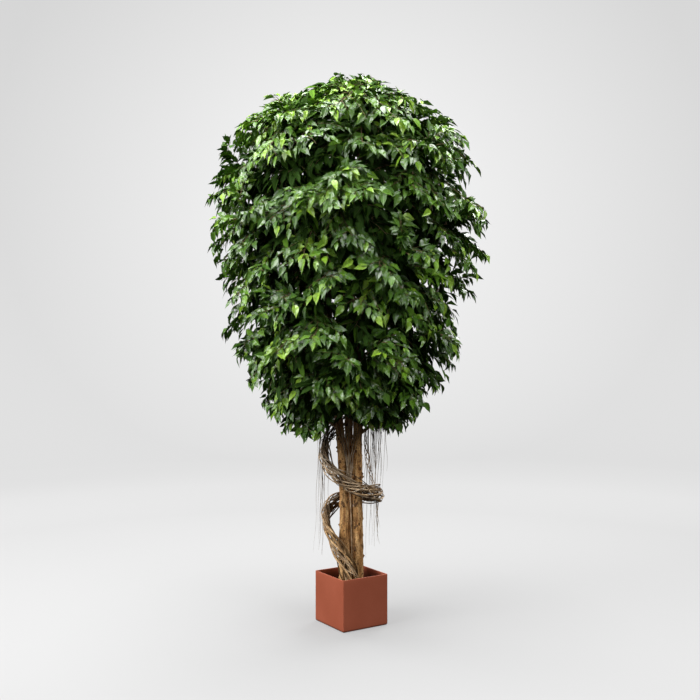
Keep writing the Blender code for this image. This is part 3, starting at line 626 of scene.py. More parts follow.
# %% [markdown]
# The rope is a loose bundle of woody lianas, each as thick as a pencil, that change places as they climb.
# They follow one shared route. Each main liana circles a flat ring round that route, as in the solids, and
# two thinner shoots wind round it at their own pace, which gives the tangle its loose ends and crossings.
# A few of the lianas also send out a binder, a thin shoot that winds steeply round the whole rope.

# %% The shared route of the rope, and one liana of it
ROPE_POINTS = 205
SHOOTS = 2
SHOOT_RADII = np.array([0.0035, 0.0021])
SHOOT_AWAY, SHOOT_SWING = 0.0125, 0.0070
BINDER_CLEAR = (0.006, 0.0045)
LOOSE_FROM = (0.70, 0.84)


def rope_frame():
    """Even points on the route, the direction away from the trunks there, and the one square to both."""
    middle = smooth_line(LIANA_ROUTE, ROPE_POINTS)
    ahead = unit(np.gradient(middle, axis=0))
    outward = square_to(ahead, unit(middle * (1, 1, 0)))
    return middle, outward, np.cross(ahead, outward)


def liana_line(number):
    """Route + cos(turn) x half width across + sin(turn) x half depth outward. The turn grows with the share
    of the route's length. The last liana keeps to the middle."""
    middle, outward, across = rope_frame()
    share = np.linspace(0, 1, ROPE_POINTS)[:, None]
    turn = math.tau * (number / (LIANA_COUNT - 1) + ROPE_TURNS * share)
    ring = 0.0 if number == LIANA_COUNT - 1 else 1.0
    oval = across * np.cos(turn) * ROPE_HALF_WIDTH + outward * np.sin(turn) * ROPE_HALF_DEPTH
    line = middle + ring * oval
    kept = round(ROPE_POINTS * (1 - (number % LIANA_SHORTEST) / (LIANA_ROWS - 1)))
    return line[:kept], outward[:kept], across[:kept]


def shoot_lines(number, draw):
    """Shoots beside a liana: its line plus a slowly changing distance times a lazy turn of their own. The
    distance grows near the crown, where the rope is loose."""
    line, outward, across = liana_line(number)
    share = np.linspace(0, 1, len(line))
    each = (SHOOTS, 1)
    turns = draw.uniform(-0.9, 0.9, each)
    turn = math.tau * (draw.random(each) + turns * share)
    turn = turn + 0.7 * np.sin(share * 15 + draw.uniform(0, 6, each))
    away = SHOOT_AWAY + SHOOT_SWING * np.sin(share * draw.uniform(14, 34, each) + draw.uniform(0, 6, each))
    away = away * np.minimum(1, share * 14 + 0.25) * np.interp(line[:, 2], LOOSE_FROM, [1.0, 1.7])
    way = outward * 0.7 * np.cos(turn)[..., None] + across * 1.25 * np.sin(turn)[..., None]
    return line + away[..., None] * way


def binder_line(draw):
    """Route + an oval a little wider than the rope, flatter on the trunks' side, turned 7 to 11 times."""
    middle, outward, across = rope_frame()
    share = np.linspace(0, 1, ROPE_POINTS)
    turns = draw.uniform(7, 11) * draw.choice([-1, 1])
    turn = math.tau * (draw.random() + turns * share) + 0.9 * np.sin(share * draw.uniform(9, 16))
    sideways = (ROPE_HALF_WIDTH + BINDER_CLEAR[0]) * np.cos(turn)
    rise = (ROPE_HALF_DEPTH + BINDER_CLEAR[1]) * np.where(np.sin(turn) > 0, 1.0, 0.7) * np.sin(turn)
    loose = np.interp(middle[:, 2], LOOSE_FROM, [1.0, 1.35]) + 0.14 * soft_noise(middle * 30 + 4)
    return middle + across * (sideways * loose)[:, None] + outward * (rise * loose)[:, None]


print("rope:", LIANA_COUNT, "lianas with", SHOOTS, "shoots each")

# %% [markdown]
# A real rope of vines is weathered grey where it faces out, because light and rain reach the outside only.
# Two numbers are kept on the mesh for each point: its age, from brown to grey, and its brightness. Both
# grow with how far out of the rope the point lies, and the age also with its height. The brightness is
# painted shade in the rope's gaps and painted light on its outer side. Each vine and each shoot has its own
# draw of both.

# %% Liana pieces
LIANA_SIDES, SHOOT_SIDES, BINDER_SIDES = 9, 6, 5
BINDER_RADIUS = 0.0019
WITH_BINDER = (0, 2, 4, 5)
AGED_FROM, AGED_OVER = 0.40, 0.45
AGE_OUTSIDE = [0.3, 1.2], [0.0, 0.45]
# Painted shade in the rope's gaps and painted light on its outer side, by how far out a point lies
SHADE_AND_LIGHT_BY_FACING = [-0.8, 0.1, 0.6, 1.3], [0.35, 0.62, 1.08, 1.55]
woody_pieces = []


def woody_tube(lines, radius, sides, seed):
    """Closed tubes with knuckles: radius x (1 + two sizes of noise) x ribs, thinner towards the tip."""
    lines = np.asarray(lines)
    share = np.linspace(0, 1, lines.shape[1])
    swell = 1 + 0.15 * soft_noise(lines * 60 + seed) + 0.12 * soft_noise(lines * 190 + seed)
    thin = np.asarray(radius)[:, None] * swell * (1 - 0.35 * share**2)
    guide = unit(lines * (1, 1, 0) + (0, 0, 1e-6))
    ribs = 1 + 0.10 * np.cos(even_turns(sides) * 2 + seed)
    return tubes_round(lines, thin[..., None] * ribs, guide, sides)


def facing_out(points):
    """How far a point lies on the rope's outer side: its distance from the nearest point of the route,
    measured along the outward direction there, in half depths of the rope."""
    middle, outward, _ = rope_frame()
    nearest = np.argmin(np.linalg.norm(points[:, None] - middle[None], axis=2), axis=1)
    return np.sum((points - middle[nearest]) * outward[nearest], axis=1) / ROPE_HALF_DEPTH


for number in range(LIANA_COUNT):
    draw = np.random.default_rng(20 + number)
    main = woody_tube(liana_line(number)[0][None], [LIANA_RADIUS], LIANA_SIDES, number)
    winding = shoot_lines(number, draw)
    shoots = woody_tube(winding, SHOOT_RADII * draw.uniform(0.85, 1.15, SHOOTS), SHOOT_SIDES, number + 9)
    parts, sizes = [main, shoots], [len(main[0])] + [len(shoots[0]) // SHOOTS] * SHOOTS
    if number in WITH_BINDER:
        binder = woody_tube(binder_line(draw)[None], [BINDER_RADIUS], BINDER_SIDES, number)
        parts, sizes = parts + [binder], sizes + [len(binder[0])]
    shape = join_shapes(*parts)
    liana = lay_mesh("liana_vine_%d" % (number + 1), *shape, sharp=80)
    out = facing_out(shape[0])
    age = np.clip((shape[0][:, 2] - AGED_FROM) / AGED_OVER, 0, 1) * 0.6
    age = age + np.repeat(draw.uniform(-0.25, 0.25, len(sizes)), sizes) + np.interp(out, *AGE_OUTSIDE)
    brightness_and_shade = np.repeat(draw.uniform(0.64, 1.56, len(sizes)) * ([1.0] + [0.94] * (len(sizes) - 1)), sizes)
    # Painted shade and painted light: darker where the point lies inside the rope, brighter where it lies out
    brightness_and_shade = brightness_and_shade * np.interp(out, *SHADE_AND_LIGHT_BY_FACING)
    mark(liana, "tone", np.stack([age, brightness_and_shade, 0 * age], axis=1))
    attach(liana, "root")
    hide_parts("liana_%d" % (number + 1))
    woody_pieces.append(liana)
print("lianas:", LIANA_COUNT, "with", sum(len(piece.data.polygons) for piece in woody_pieces), "faces")

# %% [markdown]
# One more vine climbs alone between the two front trunks. It is smoother than the rope. Where the rope hides
# it, it sends up thin shoots that fan out over both trunks and go into the leaves.

# %% Single vine
VINE_POINTS, VINE_SWAY = 220, 0.0018
CLIMBERS = 9
CLIMBER_FOOT, CLIMBER_SPREAD = np.array([-0.006, -0.040, 0.680]), (0.006, 0.0015, 0.010)
CLIMBER_HEADS, CLIMBER_TOP = (-0.085, 0.050), 1.06
VINE_TONE, CLIMBER_TONE = (0.45, 1.1, 0.0), (0.85, 1.2, 0.0)


def climbing_shoots(draw, count):
    """From the vine behind the rope to heads under the crown: a straight line plus slow sideways waves that
    vanish at both ends."""
    share = np.linspace(0, 1, 70)[None, :, None]
    foot = CLIMBER_FOOT + draw.normal(0, 1, (count, 1, 3)) * CLIMBER_SPREAD
    depth = draw.uniform(-0.041, -0.035, count)
    head = np.stack([np.linspace(*CLIMBER_HEADS, count), depth, np.full(count, CLIMBER_TOP)], axis=1)
    line = foot + (head[:, None] - foot) * share
    waves = np.sin(share * draw.uniform(6, 14, (count, 1, 2)) + draw.uniform(0, 6, (count, 1, 2)))
    line[..., :2] += waves * np.sin(share * math.pi) * (0.0075, 0.0018)
    return line


draw = np.random.default_rng(12)
vine_line = smooth_line(VINE_ROUTE, VINE_POINTS)
sway = [soft_noise(vine_line * 9), soft_noise(vine_line * 9 + 7), np.zeros(VINE_POINTS)]
vine_line = vine_line + np.stack(sway, axis=1) * VINE_SWAY
vine_parts = [
    woody_tube(vine_line[None], [LIANA_RADIUS], LIANA_SIDES, 4),
    woody_tube(climbing_shoots(draw, CLIMBERS), draw.uniform(0.0011, 0.0020, CLIMBERS), 5, 2),
]
vine = lay_mesh("vine_stem", *join_shapes(*vine_parts), sharp=80)
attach(vine, "root")
mark(vine, "tone", np.repeat([VINE_TONE, CLIMBER_TONE], [len(part[0]) for part in vine_parts], axis=0))
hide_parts("vine")
woody_pieces.append(vine)
print("vine:", len(vine.data.polygons), "faces")

# %% [markdown]
# Two bare limbs leave the trunks under the crown. Thin aerial roots hang from them, and from the rope's outer
# bends, like loose threads, some as far as the planter. A root is a line that falls straight and wavers a
# little, more so towards its free tip. One bundle is tied to the rope's elbow.

# %% Limbs and aerial roots
LIMB_POINTS, LIMB_SIDES = 90, 12
ROOT_POINTS, ROOT_SIDES = 36, 5
ROOT_SPREAD = {"limb_right": (0.20, 0.85, 30), "limb_left": (0.42, 0.78, 9)}
ROOT_LENGTHS, SHORT_SHARE, SHORT_ROOT = (0.20, 0.66), 0.4, 0.6
ROOT_RADII = (0.0008, 0.0018)
ROOT_DRIFT, ROOT_WAVE = 0.016, 0.0042
ROPE_BENDS = {"limb_right": (0.130, -0.012, 0.632), "limb_left": (-0.150, -0.006, 0.805)}
BEND_DROPS = {"limb_right": (0.10, 0.27), "limb_left": (0.24, 0.50)}
ROOTS_PER_BEND = 5
LIMB_TONES = ((0.2, 1.0, 0.0), (0.9, 1.0, 0.0), (0.5, 1.25, 0.0))


def root_lines(starts, lengths, draw):
    """Start - length x share along Z, plus a drift and a wave sideways that grow with the share."""
    share = np.linspace(0, 1, ROOT_POINTS)[:, None]
    each = (len(starts), 1, 2)
    fall = starts[:, None] - UP * lengths[:, None, None] * share
    drift = draw.normal(0, ROOT_DRIFT, each) * share
    phase, speed = draw.uniform(0, 6, each), draw.uniform(4, 15, each)
    waves = ROOT_WAVE * np.sin(share * speed + phase) * share**0.5
    fall[..., :2] += drift + waves
    return fall


def root_tubes(starts, lengths, radii, draw):
    """Closed tubes round the root lines, thinning to a hair at the tip."""
    lines = root_lines(starts, lengths, draw)
    share = np.linspace(0, 1, ROOT_POINTS)
    thin = radii[:, None] * (1 - 0.8 * share**1.5) * (1 + 0.15 * soft_noise(lines * 80))
    return tubes_round(lines, thin[..., None], ACROSS, ROOT_SIDES)


STRAND_RADII, STRAND_SIDES = np.array([0.0026, 0.0022, 0.0019]), 7
STRAND_TOP, ROPE_ELBOW = np.array([0.068, -0.004, 0.955]), np.array([0.116, -0.036, 0.664])
STRAND_TWISTS, STRAND_BOW = 2.2, 0.012


def tied_strands():
    """Strands from the right limb down to the rope's elbow: a straight line plus a slow twist of each round
    the bundle, which is loose in the middle and tight at both ends."""
    share = np.linspace(0, 1, 60)
    turn = math.tau * (np.arange(3)[:, None] / 3 + STRAND_TWISTS * share)
    share = share[:, None]
    middle = np.sin(share * math.pi)
    ring = level(turn) * (0.003 + 0.007 * middle)
    return STRAND_TOP + (ROPE_ELBOW - STRAND_TOP) * share + ring - ACROSS * STRAND_BOW * middle


for seed, (name, route) in enumerate(LIMBS.items(), 40):
    draw = np.random.default_rng(seed)
    line = smooth_line(route, LIMB_POINTS)
    wood = line + 0.004 * np.stack([soft_noise(line * 25 + shift) for shift in (0, 3, 6)], axis=1)
    wood[0] = line[0]
    radius = np.linspace(LIMB_RADIUS, LIMB_TIP_RADIUS, LIMB_POINTS) * (1 + 0.12 * soft_noise(line * 70))
    branch = tubes_round(wood[None], radius[None, :, None], UP, LIMB_SIDES)
    first, last, count = ROOT_SPREAD[name]
    where = draw.uniform(first, last, count)
    starts = wood[(where * (LIMB_POINTS - 1)).astype(int)] - UP * 0.003
    from_rope = draw.normal(ROPE_BENDS[name], (0.010, 0.012, 0.008), (ROOTS_PER_BEND, 3))
    lengths = draw.uniform(*ROOT_LENGTHS, count) * np.where(draw.random(count) < SHORT_SHARE, SHORT_ROOT, 1.0)
    lengths = np.concatenate([lengths, draw.uniform(*BEND_DROPS[name], ROOTS_PER_BEND)])
    roots = root_tubes(np.vstack([starts, from_rope]), lengths, draw.uniform(*ROOT_RADII, len(lengths)), draw)
    parts = [branch, roots]
    if name == "limb_right":
        parts.append(woody_tube(tied_strands(), STRAND_RADII, STRAND_SIDES, 3))
    limb = lay_mesh(name + "_wood", *join_shapes(*parts), sharp=80)
    tones = [np.tile(tone, (len(part[0]), 1)) for part, tone in zip(parts, LIMB_TONES)]
    mark(limb, "tone", np.concatenate(tones))
    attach(limb, "root")
    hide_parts(name)
    woody_pieces.append(limb)
    print(limb.name, len(limb.data.polygons), "faces")

# %% Liana finish
# Brown or weathered grey by the age that is kept on the mesh, times the brightness kept there: painted shade
# in the rope's gaps, painted light on its outer side
WOOD_BROWNS = [(0.30, (0.13, 0.064, 0.023)), (0.50, (0.39, 0.230, 0.096)), (0.70, (0.64, 0.425, 0.210))]
WOOD_GREYS = [(0.30, (0.11, 0.080, 0.055)), (0.50, (0.32, 0.250, 0.175)), (0.70, (0.54, 0.45, 0.34))]
woody = Finish("vine_bark", 0.8, shine=0.25)
tone = woody.noise(26.0, 4.0)
fibres = woody.noise(1.0, 4.0, woody.place((500, 500, 90)))
age, brightness_and_shade, _ = woody.axes(woody.kept("tone")["Vector"])
aged = woody.mix(woody.fade(age, 0, 1, 0, 1), woody.ramp(tone, WOOD_BROWNS), woody.ramp(tone, WOOD_GREYS))
lines = woody.ramp(fibres, [(0.35, (0.5, 0.48, 0.46)), (0.6, (1, 1, 1))])
lined = woody.mix(0.8, aged, lines, "MULTIPLY")
woody.colour(woody.mix(1.0, lined, brightness_and_shade, "MULTIPLY"))
woody.bump(fibres, 0.0006)
for piece in woody_pieces:
    piece.data.materials.append(woody.material)
print("finished:", len(woody_pieces), "lianas, vine and limbs")

# %% [markdown]
# A fig leaf is a pointed oval on a short stalk, folded a little along its rib and bent down towards its tip.
# A flat card with a leaf picture is the usual way, but it has no thickness and no fold to catch the light.
# Here a leaf is one flat tube of six rings, so it stays closed and takes only a few dozen faces. Leaves in
# the shade keep two of the rings.

# %% One leaf, thousands of times
STATIONS = np.array([0.10, 0.17, 0.29, 0.47, 0.67, 0.86])
HALF_WIDTHS = np.array([0.030, 0.275, 0.450, 0.500, 0.355, 0.115])
LEAF_THICK, STALK_THICK, STALK_END = 0.0007, 0.012, 0.15
RUFFLE, RUFFLE_WAVES, RUFFLE_SHIFT = 0.35, 19, 40


def leaf_rings(root, axis, normal, length, width, fold, sag, curl):
    """Rings of four corners at each station s: right edge, top, left edge, underside.
    Middle = root + axis x length x s - normal x sag x length x s^2 + curl sideways. The edges are lifted by
    the fold times their distance from the rib, times 1 + a sine wave along the leaf, which ruffles them."""
    side = np.cross(normal, axis)
    s = STATIONS[None, :, None]
    long = length[:, None, None]
    middle = root[:, None] + axis[:, None] * long * s - (normal[:, None] * sag[:, None, None] * long) * s**2
    middle = middle + side[:, None] * curl[:, None, None] * long * s**2
    reach = HALF_WIDTHS[None, :, None] * width[:, None, None]
    ruffle = 1 + RUFFLE * np.sin(RUFFLE_WAVES * s + RUFFLE_SHIFT * curl[:, None, None])
    lift = normal[:, None] * reach * fold[:, None, None] * ruffle
    thick = normal[:, None] * np.maximum(LEAF_THICK / 2, STALK_THICK * long * (s < STALK_END))
    ring = [side[:, None] * reach + lift, thick, -side[:, None] * reach + lift, -thick]
    tip = root + axis * length[:, None] - normal * (sag * length)[:, None] + side * (curl * length)[:, None]
    return middle[:, :, None] + np.stack(ring, axis=2), root, tip


print("a leaf has", 4 * (len(STATIONS) - 1) + 8, "faces")

# %% [markdown]
# A bough leaves its trunk, lifts, and arches over to its spot on the crown. The spots lie on a spiral that
# gives each bough the same area to clothe. These are the same formulas that place the solids, so each finer
# bough stands where its solid does.


# %% Where each bough runs
def crown_radius(z, outline=CROWN):
    """An outline of the crown: straight lines between the rows of its table."""
    return np.interp(z, outline[:, 0], outline[:, 1])


def crown_spots(count, outline=CROWN):
    """Even spots on the crown: heights at equal shares of the outline's swept area, angles a golden angle
    apart. Returns the spots, the crown's normals there, and the level directions outward."""
    levels = np.linspace(outline[0, 0], outline[-1, 0], 301)
    slant = np.hypot(np.diff(levels), np.diff(crown_radius(levels, outline)))
    areas = np.concatenate([[0], np.cumsum(slant * crown_radius((levels[1:] + levels[:-1]) / 2, outline))])
    z = np.interp(areas[-1] * (np.arange(count) + 0.5) / count, areas, levels)
    angle = np.arange(count) * GOLDEN_ANGLE
    slope = (crown_radius(z + 0.05, outline) - crown_radius(z - 0.05, outline)) / 0.1
    outward = level(angle)
    normal = unit(outward - UP * slope[:, None] * 0.8)
    return outward * crown_radius(z, outline)[:, None] + UP * z[:, None], normal, outward


def trunk_at(name, z):
    """The middle and the radius of a trunk at a height."""
    rows = np.array(TRUNKS[name])
    return read_between(z, rows[:, 2], rows)


def fork_of(number, spot):
    """The trunk that a bough leaves, and the height of its fork."""
    if number in FORKS_BY_HAND:
        return FORKS_BY_HAND[number]
    z = np.clip(spot[2] - FORK_DROP - FORK_SLOPE * crown_radius(spot[2]), FIRST_FORK, LAST_FORK)
    return min(TRUNKS, key=lambda name: np.linalg.norm(trunk_at(name, z)[:3] - spot)), z


def bezier(start, leave, arrive, end, t):
    """The cubic Bezier curve: start u^3 + leave 3u^2 t + arrive 3u t^2 + end t^3, with u = 1 - t."""
    u = 1 - t
    return start * u**3 + leave * 3 * u * u * t + arrive * 3 * u * t * t + end * t**3


def bough_line(root, spot, normal, outward, count=41):
    """The Bezier curve from the trunk's middle to the spot, drawn towards a lifted and an arched point."""
    end = spot - normal * TIP_INSET
    reach = np.linalg.norm(end - root)
    lift = root + (outward + UP) * reach * BOUGH_LIFT
    over = end - normal * reach * BOUGH_ARCH + UP * BOUGH_CREST
    return bezier(root, lift, over, end, np.linspace(0, 1, count)[:, None])


# %% The stems of all boughs
stems, stem_radii = [], []
for number, (spot, normal, outward) in enumerate(zip(*crown_spots(BOUGHS)), 1):
    name, z = fork_of(number, spot)
    at = trunk_at(name, z)
    stems.append(bough_line(at[:3], spot, normal, outward))
    stem_radii.append(min(BOUGH_RADIUS, FORK_SHARE * at[3]))
stems = np.stack(stems)
print("stems:", stems.shape)

# %% [markdown]
# The crown is built from sprays. A spray is a twig that arches out of the shade and droops at its end, with
# short shoots to its left and right like the ribs of a fan, and two rows of leaves on each shoot. Seen from
# outside, such fans overlap like roof tiles, and the dark gaps under them give the crown its depth.
# A finer spiral of spots says where the sprays end, so the crown has no bald patch. Each starts at the
# nearest bough. Whatever would stand out of the crown's outline is shortened or left off.

# %% What stays inside the crown
# Rows of height, how far the leaves reach, and how far the crown's middle lies to the side
LEAF_REACH = np.array([
    (0.88, 0.24, -0.050), (0.93, 0.33, -0.050), (0.98, 0.38, -0.050), (1.10, 0.45, -0.035),
    (1.16, 0.50, -0.035), (1.28, 0.57, -0.025), (1.34, 0.60, -0.035), (1.51, 0.59, -0.040),
    (1.63, 0.62, -0.020), (1.75, 0.65, -0.025), (1.87, 0.68, -0.035), (1.99, 0.72, -0.025),
    (2.05, 0.69, -0.025), (2.22, 0.66, -0.025), (2.28, 0.62, -0.035), (2.34, 0.60, -0.040),
    (2.40, 0.58, -0.045), (2.46, 0.53, -0.050), (2.52, 0.46, -0.045), (2.58, 0.36, -0.030),
    (2.64, 0.22, -0.015), (2.70, 0.12, 0.000), (2.73, 0.04, 0.005),
])
FRINGE, FRINGE_DRIFT, FRINGE_RAGS = 0.018, 0.070, 0.048
FLOOR, FLOOR_DRIFT = 0.912, 0.032
FLOOR_LIFT, FLOOR_MIDDLE, FLOOR_HALF_WIDTH = 0.12, -0.015, 0.110
BOX_MARGIN, TIP_ROOM = 0.012, 0.036


def middle_shift(z):
    """How far the crown's middle lies to the side at a height."""
    return np.interp(z, LEAF_REACH[:, 0], LEAF_REACH[:, 2])


def within_crown(points, inset=0.0):
    """True where the distance from the crown's middle is less than the leaves' reach at that height plus
    soft noise, above a floor that is a bell curve of x, so that the trunks stay in view, and inside the
    solids' box. An inset draws the outline in."""
    x, y, z = points[..., 0], points[..., 1], points[..., 2]
    ragged = FRINGE + FRINGE_DRIFT * soft_noise(points * 5.5 + 11) + FRINGE_RAGS * soft_noise(points * 17)
    reach = crown_radius(z, LEAF_REACH) + ragged
    bell = np.exp(-(((x - FLOOR_MIDDLE) / FLOOR_HALF_WIDTH) ** 2))
    lowest = FLOOR + FLOOR_DRIFT * soft_noise(points * 12) + FLOOR_LIFT * bell
    inside = (np.hypot(x - middle_shift(z), y) < reach - inset) & (z > lowest)
    inside = inside & (z < LEAF_REACH[-1, 0] - inset)
    placed = points @ TURN
    low, high = np.array(cad_box[0]) - BOX_MARGIN, np.array(cad_box[1]) + BOX_MARGIN
    return inside & np.all((placed > low) & (placed < high), axis=-1)


def at_shares(lines, shares):
    """Points and directions of lines (T, K, 3) at shares (T, N) of their rows."""
    place = shares * (lines.shape[1] - 1)
    low = np.minimum(place.astype(int), lines.shape[1] - 2)
    a = np.take_along_axis(lines, low[..., None], axis=1)
    b = np.take_along_axis(lines, low[..., None] + 1, axis=1)
    return a + (b - a) * (place - low)[..., None], unit(b - a)


def plain_tubes(lines, radii, sides=3):
    """Closed tapering tubes round lines (T, K, 3), from radii (T, 2) at root and tip."""
    radius = radii[:, :1] + (radii[:, 1:] - radii[:, :1]) * np.linspace(0, 1, lines.shape[1])
    overall = unit(lines[:, -1] - lines[:, 0])
    guide = unit(np.cross(overall, UP) + (1e-4, 0, 0))[:, None]
    return tubes_round(lines, radius[..., None], guide, sides)


print("crown inside", np.round(cad_size[:2] + 2 * BOX_MARGIN, 3), "m")

# %% The twig of each spray
SPRAYS, SHADE_SPRAYS = 192, 194
SHADE_SHARE = 0.68
TWIG_POINTS = 12
TWIG_ROOM, TWIG_DROP = 0.24, 0.06
STEM_FROM, STEM_TO = 6, 36
draw = np.random.default_rng(77)


def spray_twigs(count, share=1.0):
    """A Bezier curve for each spray. It leaves the nearest bough along its stem and a little upwards, and
    arrives at its spot outwards and down. The bough is looked for at some room inwards of the spot, which
    on top of the crown means below it. A share below 1 draws the spots in towards the trunks. The curve
    ends where it would leave the crown. Returns the curves, their crown normals and the boughs' numbers."""
    spot, normal, outward = crown_spots(count, LEAF_REACH)
    spot = spot * (share, share, 1) + np.outer(middle_shift(spot[:, 2]), (1, 0, 0))
    lateral = np.cross(outward, UP)
    tip = spot + normal * draw.uniform(-0.10, 0.06, (count, 1)) + draw.normal(0, 0.015, (count, 3))
    on_top = np.clip((normal[:, 2:] - 0.50) / 0.25, 0, 1)
    source = spot - (outward + (normal - outward) * on_top) * TWIG_ROOM * share + UP * TWIG_DROP
    gap = np.linalg.norm(stems[None, :, STEM_FROM:STEM_TO] - source[:, None, None], axis=-1)
    bough, place = np.divmod(gap.reshape(count, -1).argmin(axis=1), STEM_TO - STEM_FROM)
    start, after = stems[bough, place + STEM_FROM], stems[bough, place + STEM_FROM + 1]
    reach = np.linalg.norm(tip - start, axis=1)[:, None]
    arrive = unit(normal * 0.8 + outward * 0.2 - UP * 0.55 + lateral * draw.normal(0, 0.30, (count, 1)))
    leave = start + unit(after - start) * reach * 0.30 + UP * reach * 0.15 * (1 - on_top)
    t = np.linspace(0, 1, TWIG_POINTS)[None, :, None]
    lines = bezier(start[:, None], leave[:, None], (tip - arrive * reach * 0.45)[:, None], tip[:, None], t)
    last = (within_crown(lines, TIP_ROOM) * np.arange(TWIG_POINTS)).max(axis=1) / (TWIG_POINTS - 1)
    return at_shares(lines, np.maximum(last, 0.3)[:, None] * t[:, :, 0])[0], normal, bough


twigs, spray_normal, spray_bough = (
    np.concatenate(pair) for pair in zip(spray_twigs(SPRAYS), spray_twigs(SHADE_SPRAYS, SHADE_SHARE))
)
print("sprays on each bough:", np.bincount(spray_bough, minlength=BOUGHS).tolist())

# %% The shoots of each spray
SHOOTS_PER_SPRAY = 8
SHOOT_POINTS = 4
SHOOT_LENGTH, SHOOT_SAG = 0.135, 0.36
FAN_ARCH = [0.3, 0.6, 1.0], [0.85, 1.05, 0.5]


def sagging_lines(starts, ways, lengths, sag, count):
    """Start + way x length x share + Z x length x (0.10 share - sag x share^2)."""
    share = np.linspace(0, 1, count)[None, :, None]
    long = lengths[:, None, None]
    return starts[:, None] + ways[:, None] * long * share + UP * long * (0.10 * share - sag * share**2)


def by_turns(count, value):
    """A value and its opposite in turn, to the left and to the right."""
    return np.where(np.arange(count) % 2 == 0, value, -value)[None, :, None]


def fan_shoots(lines, normal):
    """Shoots to the left and right in turn. Way = 0.65 ahead + 0.8 sideways, and the lengths follow an arch
    of the share, so that the fan is widest past its middle. A shoot is shortened until it ends inside."""
    count = len(lines)
    share = np.linspace(0.36, 0.95, SHOOTS_PER_SPRAY) + draw.normal(0, 0.015, (count, SHOOTS_PER_SPRAY))
    start, ahead = at_shares(lines, np.clip(share, 0, 0.999))
    lateral = unit(np.cross(ahead, normal[:, None] + UP))
    way = unit(ahead * 0.65 + lateral * by_turns(SHOOTS_PER_SPRAY, 0.8) + draw.normal(0, 0.12, start.shape))
    length = SHOOT_LENGTH * np.interp(share, *FAN_ARCH) * draw.uniform(0.8, 1.2, share.shape)
    start, way, length = start.reshape(-1, 3), way.reshape(-1, 3), length.ravel()
    for _ in range(5):
        tips = sagging_lines(start, way, length, SHOOT_SAG, 2)[:, -1]
        length = np.where(within_crown(tips, TIP_ROOM), length, length * 0.75)
    return sagging_lines(start, way, length, SHOOT_SAG, SHOOT_POINTS)


shoots = fan_shoots(twigs, spray_normal)
shoot_normal = np.repeat(spray_normal, SHOOTS_PER_SPRAY, axis=0)
shoot_bough = np.repeat(spray_bough, SHOOTS_PER_SPRAY)
print("shoots:", len(shoots))

# %% [markdown]
# Leaves sit in two rows along the shoots and twigs. The sprays outside carry fine leaves. Those in the
# shade, and the stems, carry larger and plainer ones that close the crown and stay within its outline.

# %% Where the leaves sit, and which way they hang
LEAF_LENGTH, LEAF_WIDTH = 0.067, 0.0285
SHORTEST, LONGEST = 0.74, 1.12
SHADE_SIZE, SHADE_INSET = 1.15, 0.05


def leaf_rows(lines, normal, bough, count, first=0.10, last=1.0, inset=0.0, size=1.0):
    """Leaves in two rows along each line, and one at its tip. Axis = 0.65 ahead + 0.55 sideways - droop x up
    + 0.2 outward. The droop is 0.42, and less on top of the crown, where the normal points up. The upper
    side turns to the crown's normal, the sky and the leaf's own side. Leaves that would stand out of the
    crown are left off. Returns roots, axes, upper sides, lengths, shares of the line and boughs' numbers."""
    shares = np.linspace(first, last, count) + draw.normal(0, 0.02, (len(lines), count))
    root, ahead = at_shares(lines, np.clip(shares, 0, 0.999))
    normal = normal[:, None]
    lateral = unit(np.cross(ahead, normal + UP * 0.5))
    side = by_turns(count, 0.55) * np.ones((len(lines), 1, 1))
    if last == 1.0:
        side[:, -1] = 0
    spray = draw.normal(0, 0.20, (len(lines), 1, 3))
    droop = 0.42 - 0.42 * np.maximum(normal[..., 2:], 0)
    axis = ahead * 0.65 + lateral * side - UP * droop + normal * 0.20 + spray
    axis = axis + draw.normal(0, 0.19, root.shape)
    face = normal * 0.9 + UP * 0.55 + lateral * side * 0.6 + spray + draw.normal(0, 0.25, root.shape)
    root, axis, face = root.reshape(-1, 3), unit(axis).reshape(-1, 3), face.reshape(-1, 3)
    face = square_to(axis, face)
    length = LEAF_LENGTH * size * draw.uniform(SHORTEST, LONGEST, len(root))
    inside = within_crown(root + axis * length[:, None], inset)
    parts = (root, axis, face, length, shares.ravel(), np.repeat(bough, count))
    return [part[inside] for part in parts]


def rows_of(kind, own, *numbers):
    """Leaf rows on some or all of one kind of wood: the shoots, the twigs or the stems."""
    lines, normal, bough = kind
    return leaf_rows(lines[own], normal[own], bough[own], *numbers)


on_shoots, on_twigs = (shoots, shoot_normal, shoot_bough), (twigs, spray_normal, spray_bough)
on_stems = stems, crown_spots(BOUGHS)[1], np.arange(BOUGHS)
lit_twigs, lit_shoots = slice(0, SPRAYS), slice(0, SPRAYS * SHOOTS_PER_SPRAY)
dim_twigs, dim_shoots = slice(SPRAYS, None), slice(SPRAYS * SHOOTS_PER_SPRAY, None)
lit_rows = rows_of(on_shoots, lit_shoots, 6), rows_of(on_twigs, lit_twigs, 12, 0.40)
dim_rows = [rows_of(*row, SHADE_INSET, SHADE_SIZE) for row in (
    (on_shoots, dim_shoots, 5, 0.10, 1.0),
    (on_twigs, dim_twigs, 10, 0.15, 1.0),
    (on_twigs, lit_twigs, 7, 0.06, 0.42),
    (on_stems, slice(None), 44, 0.10, 0.98),
)]
outer, inner = ([np.concatenate(parts) for parts in zip(*rows)] for rows in (lit_rows, dim_rows))
print("leaves:", len(outer[0]), "outside and", len(inner[0]), "in the shade")

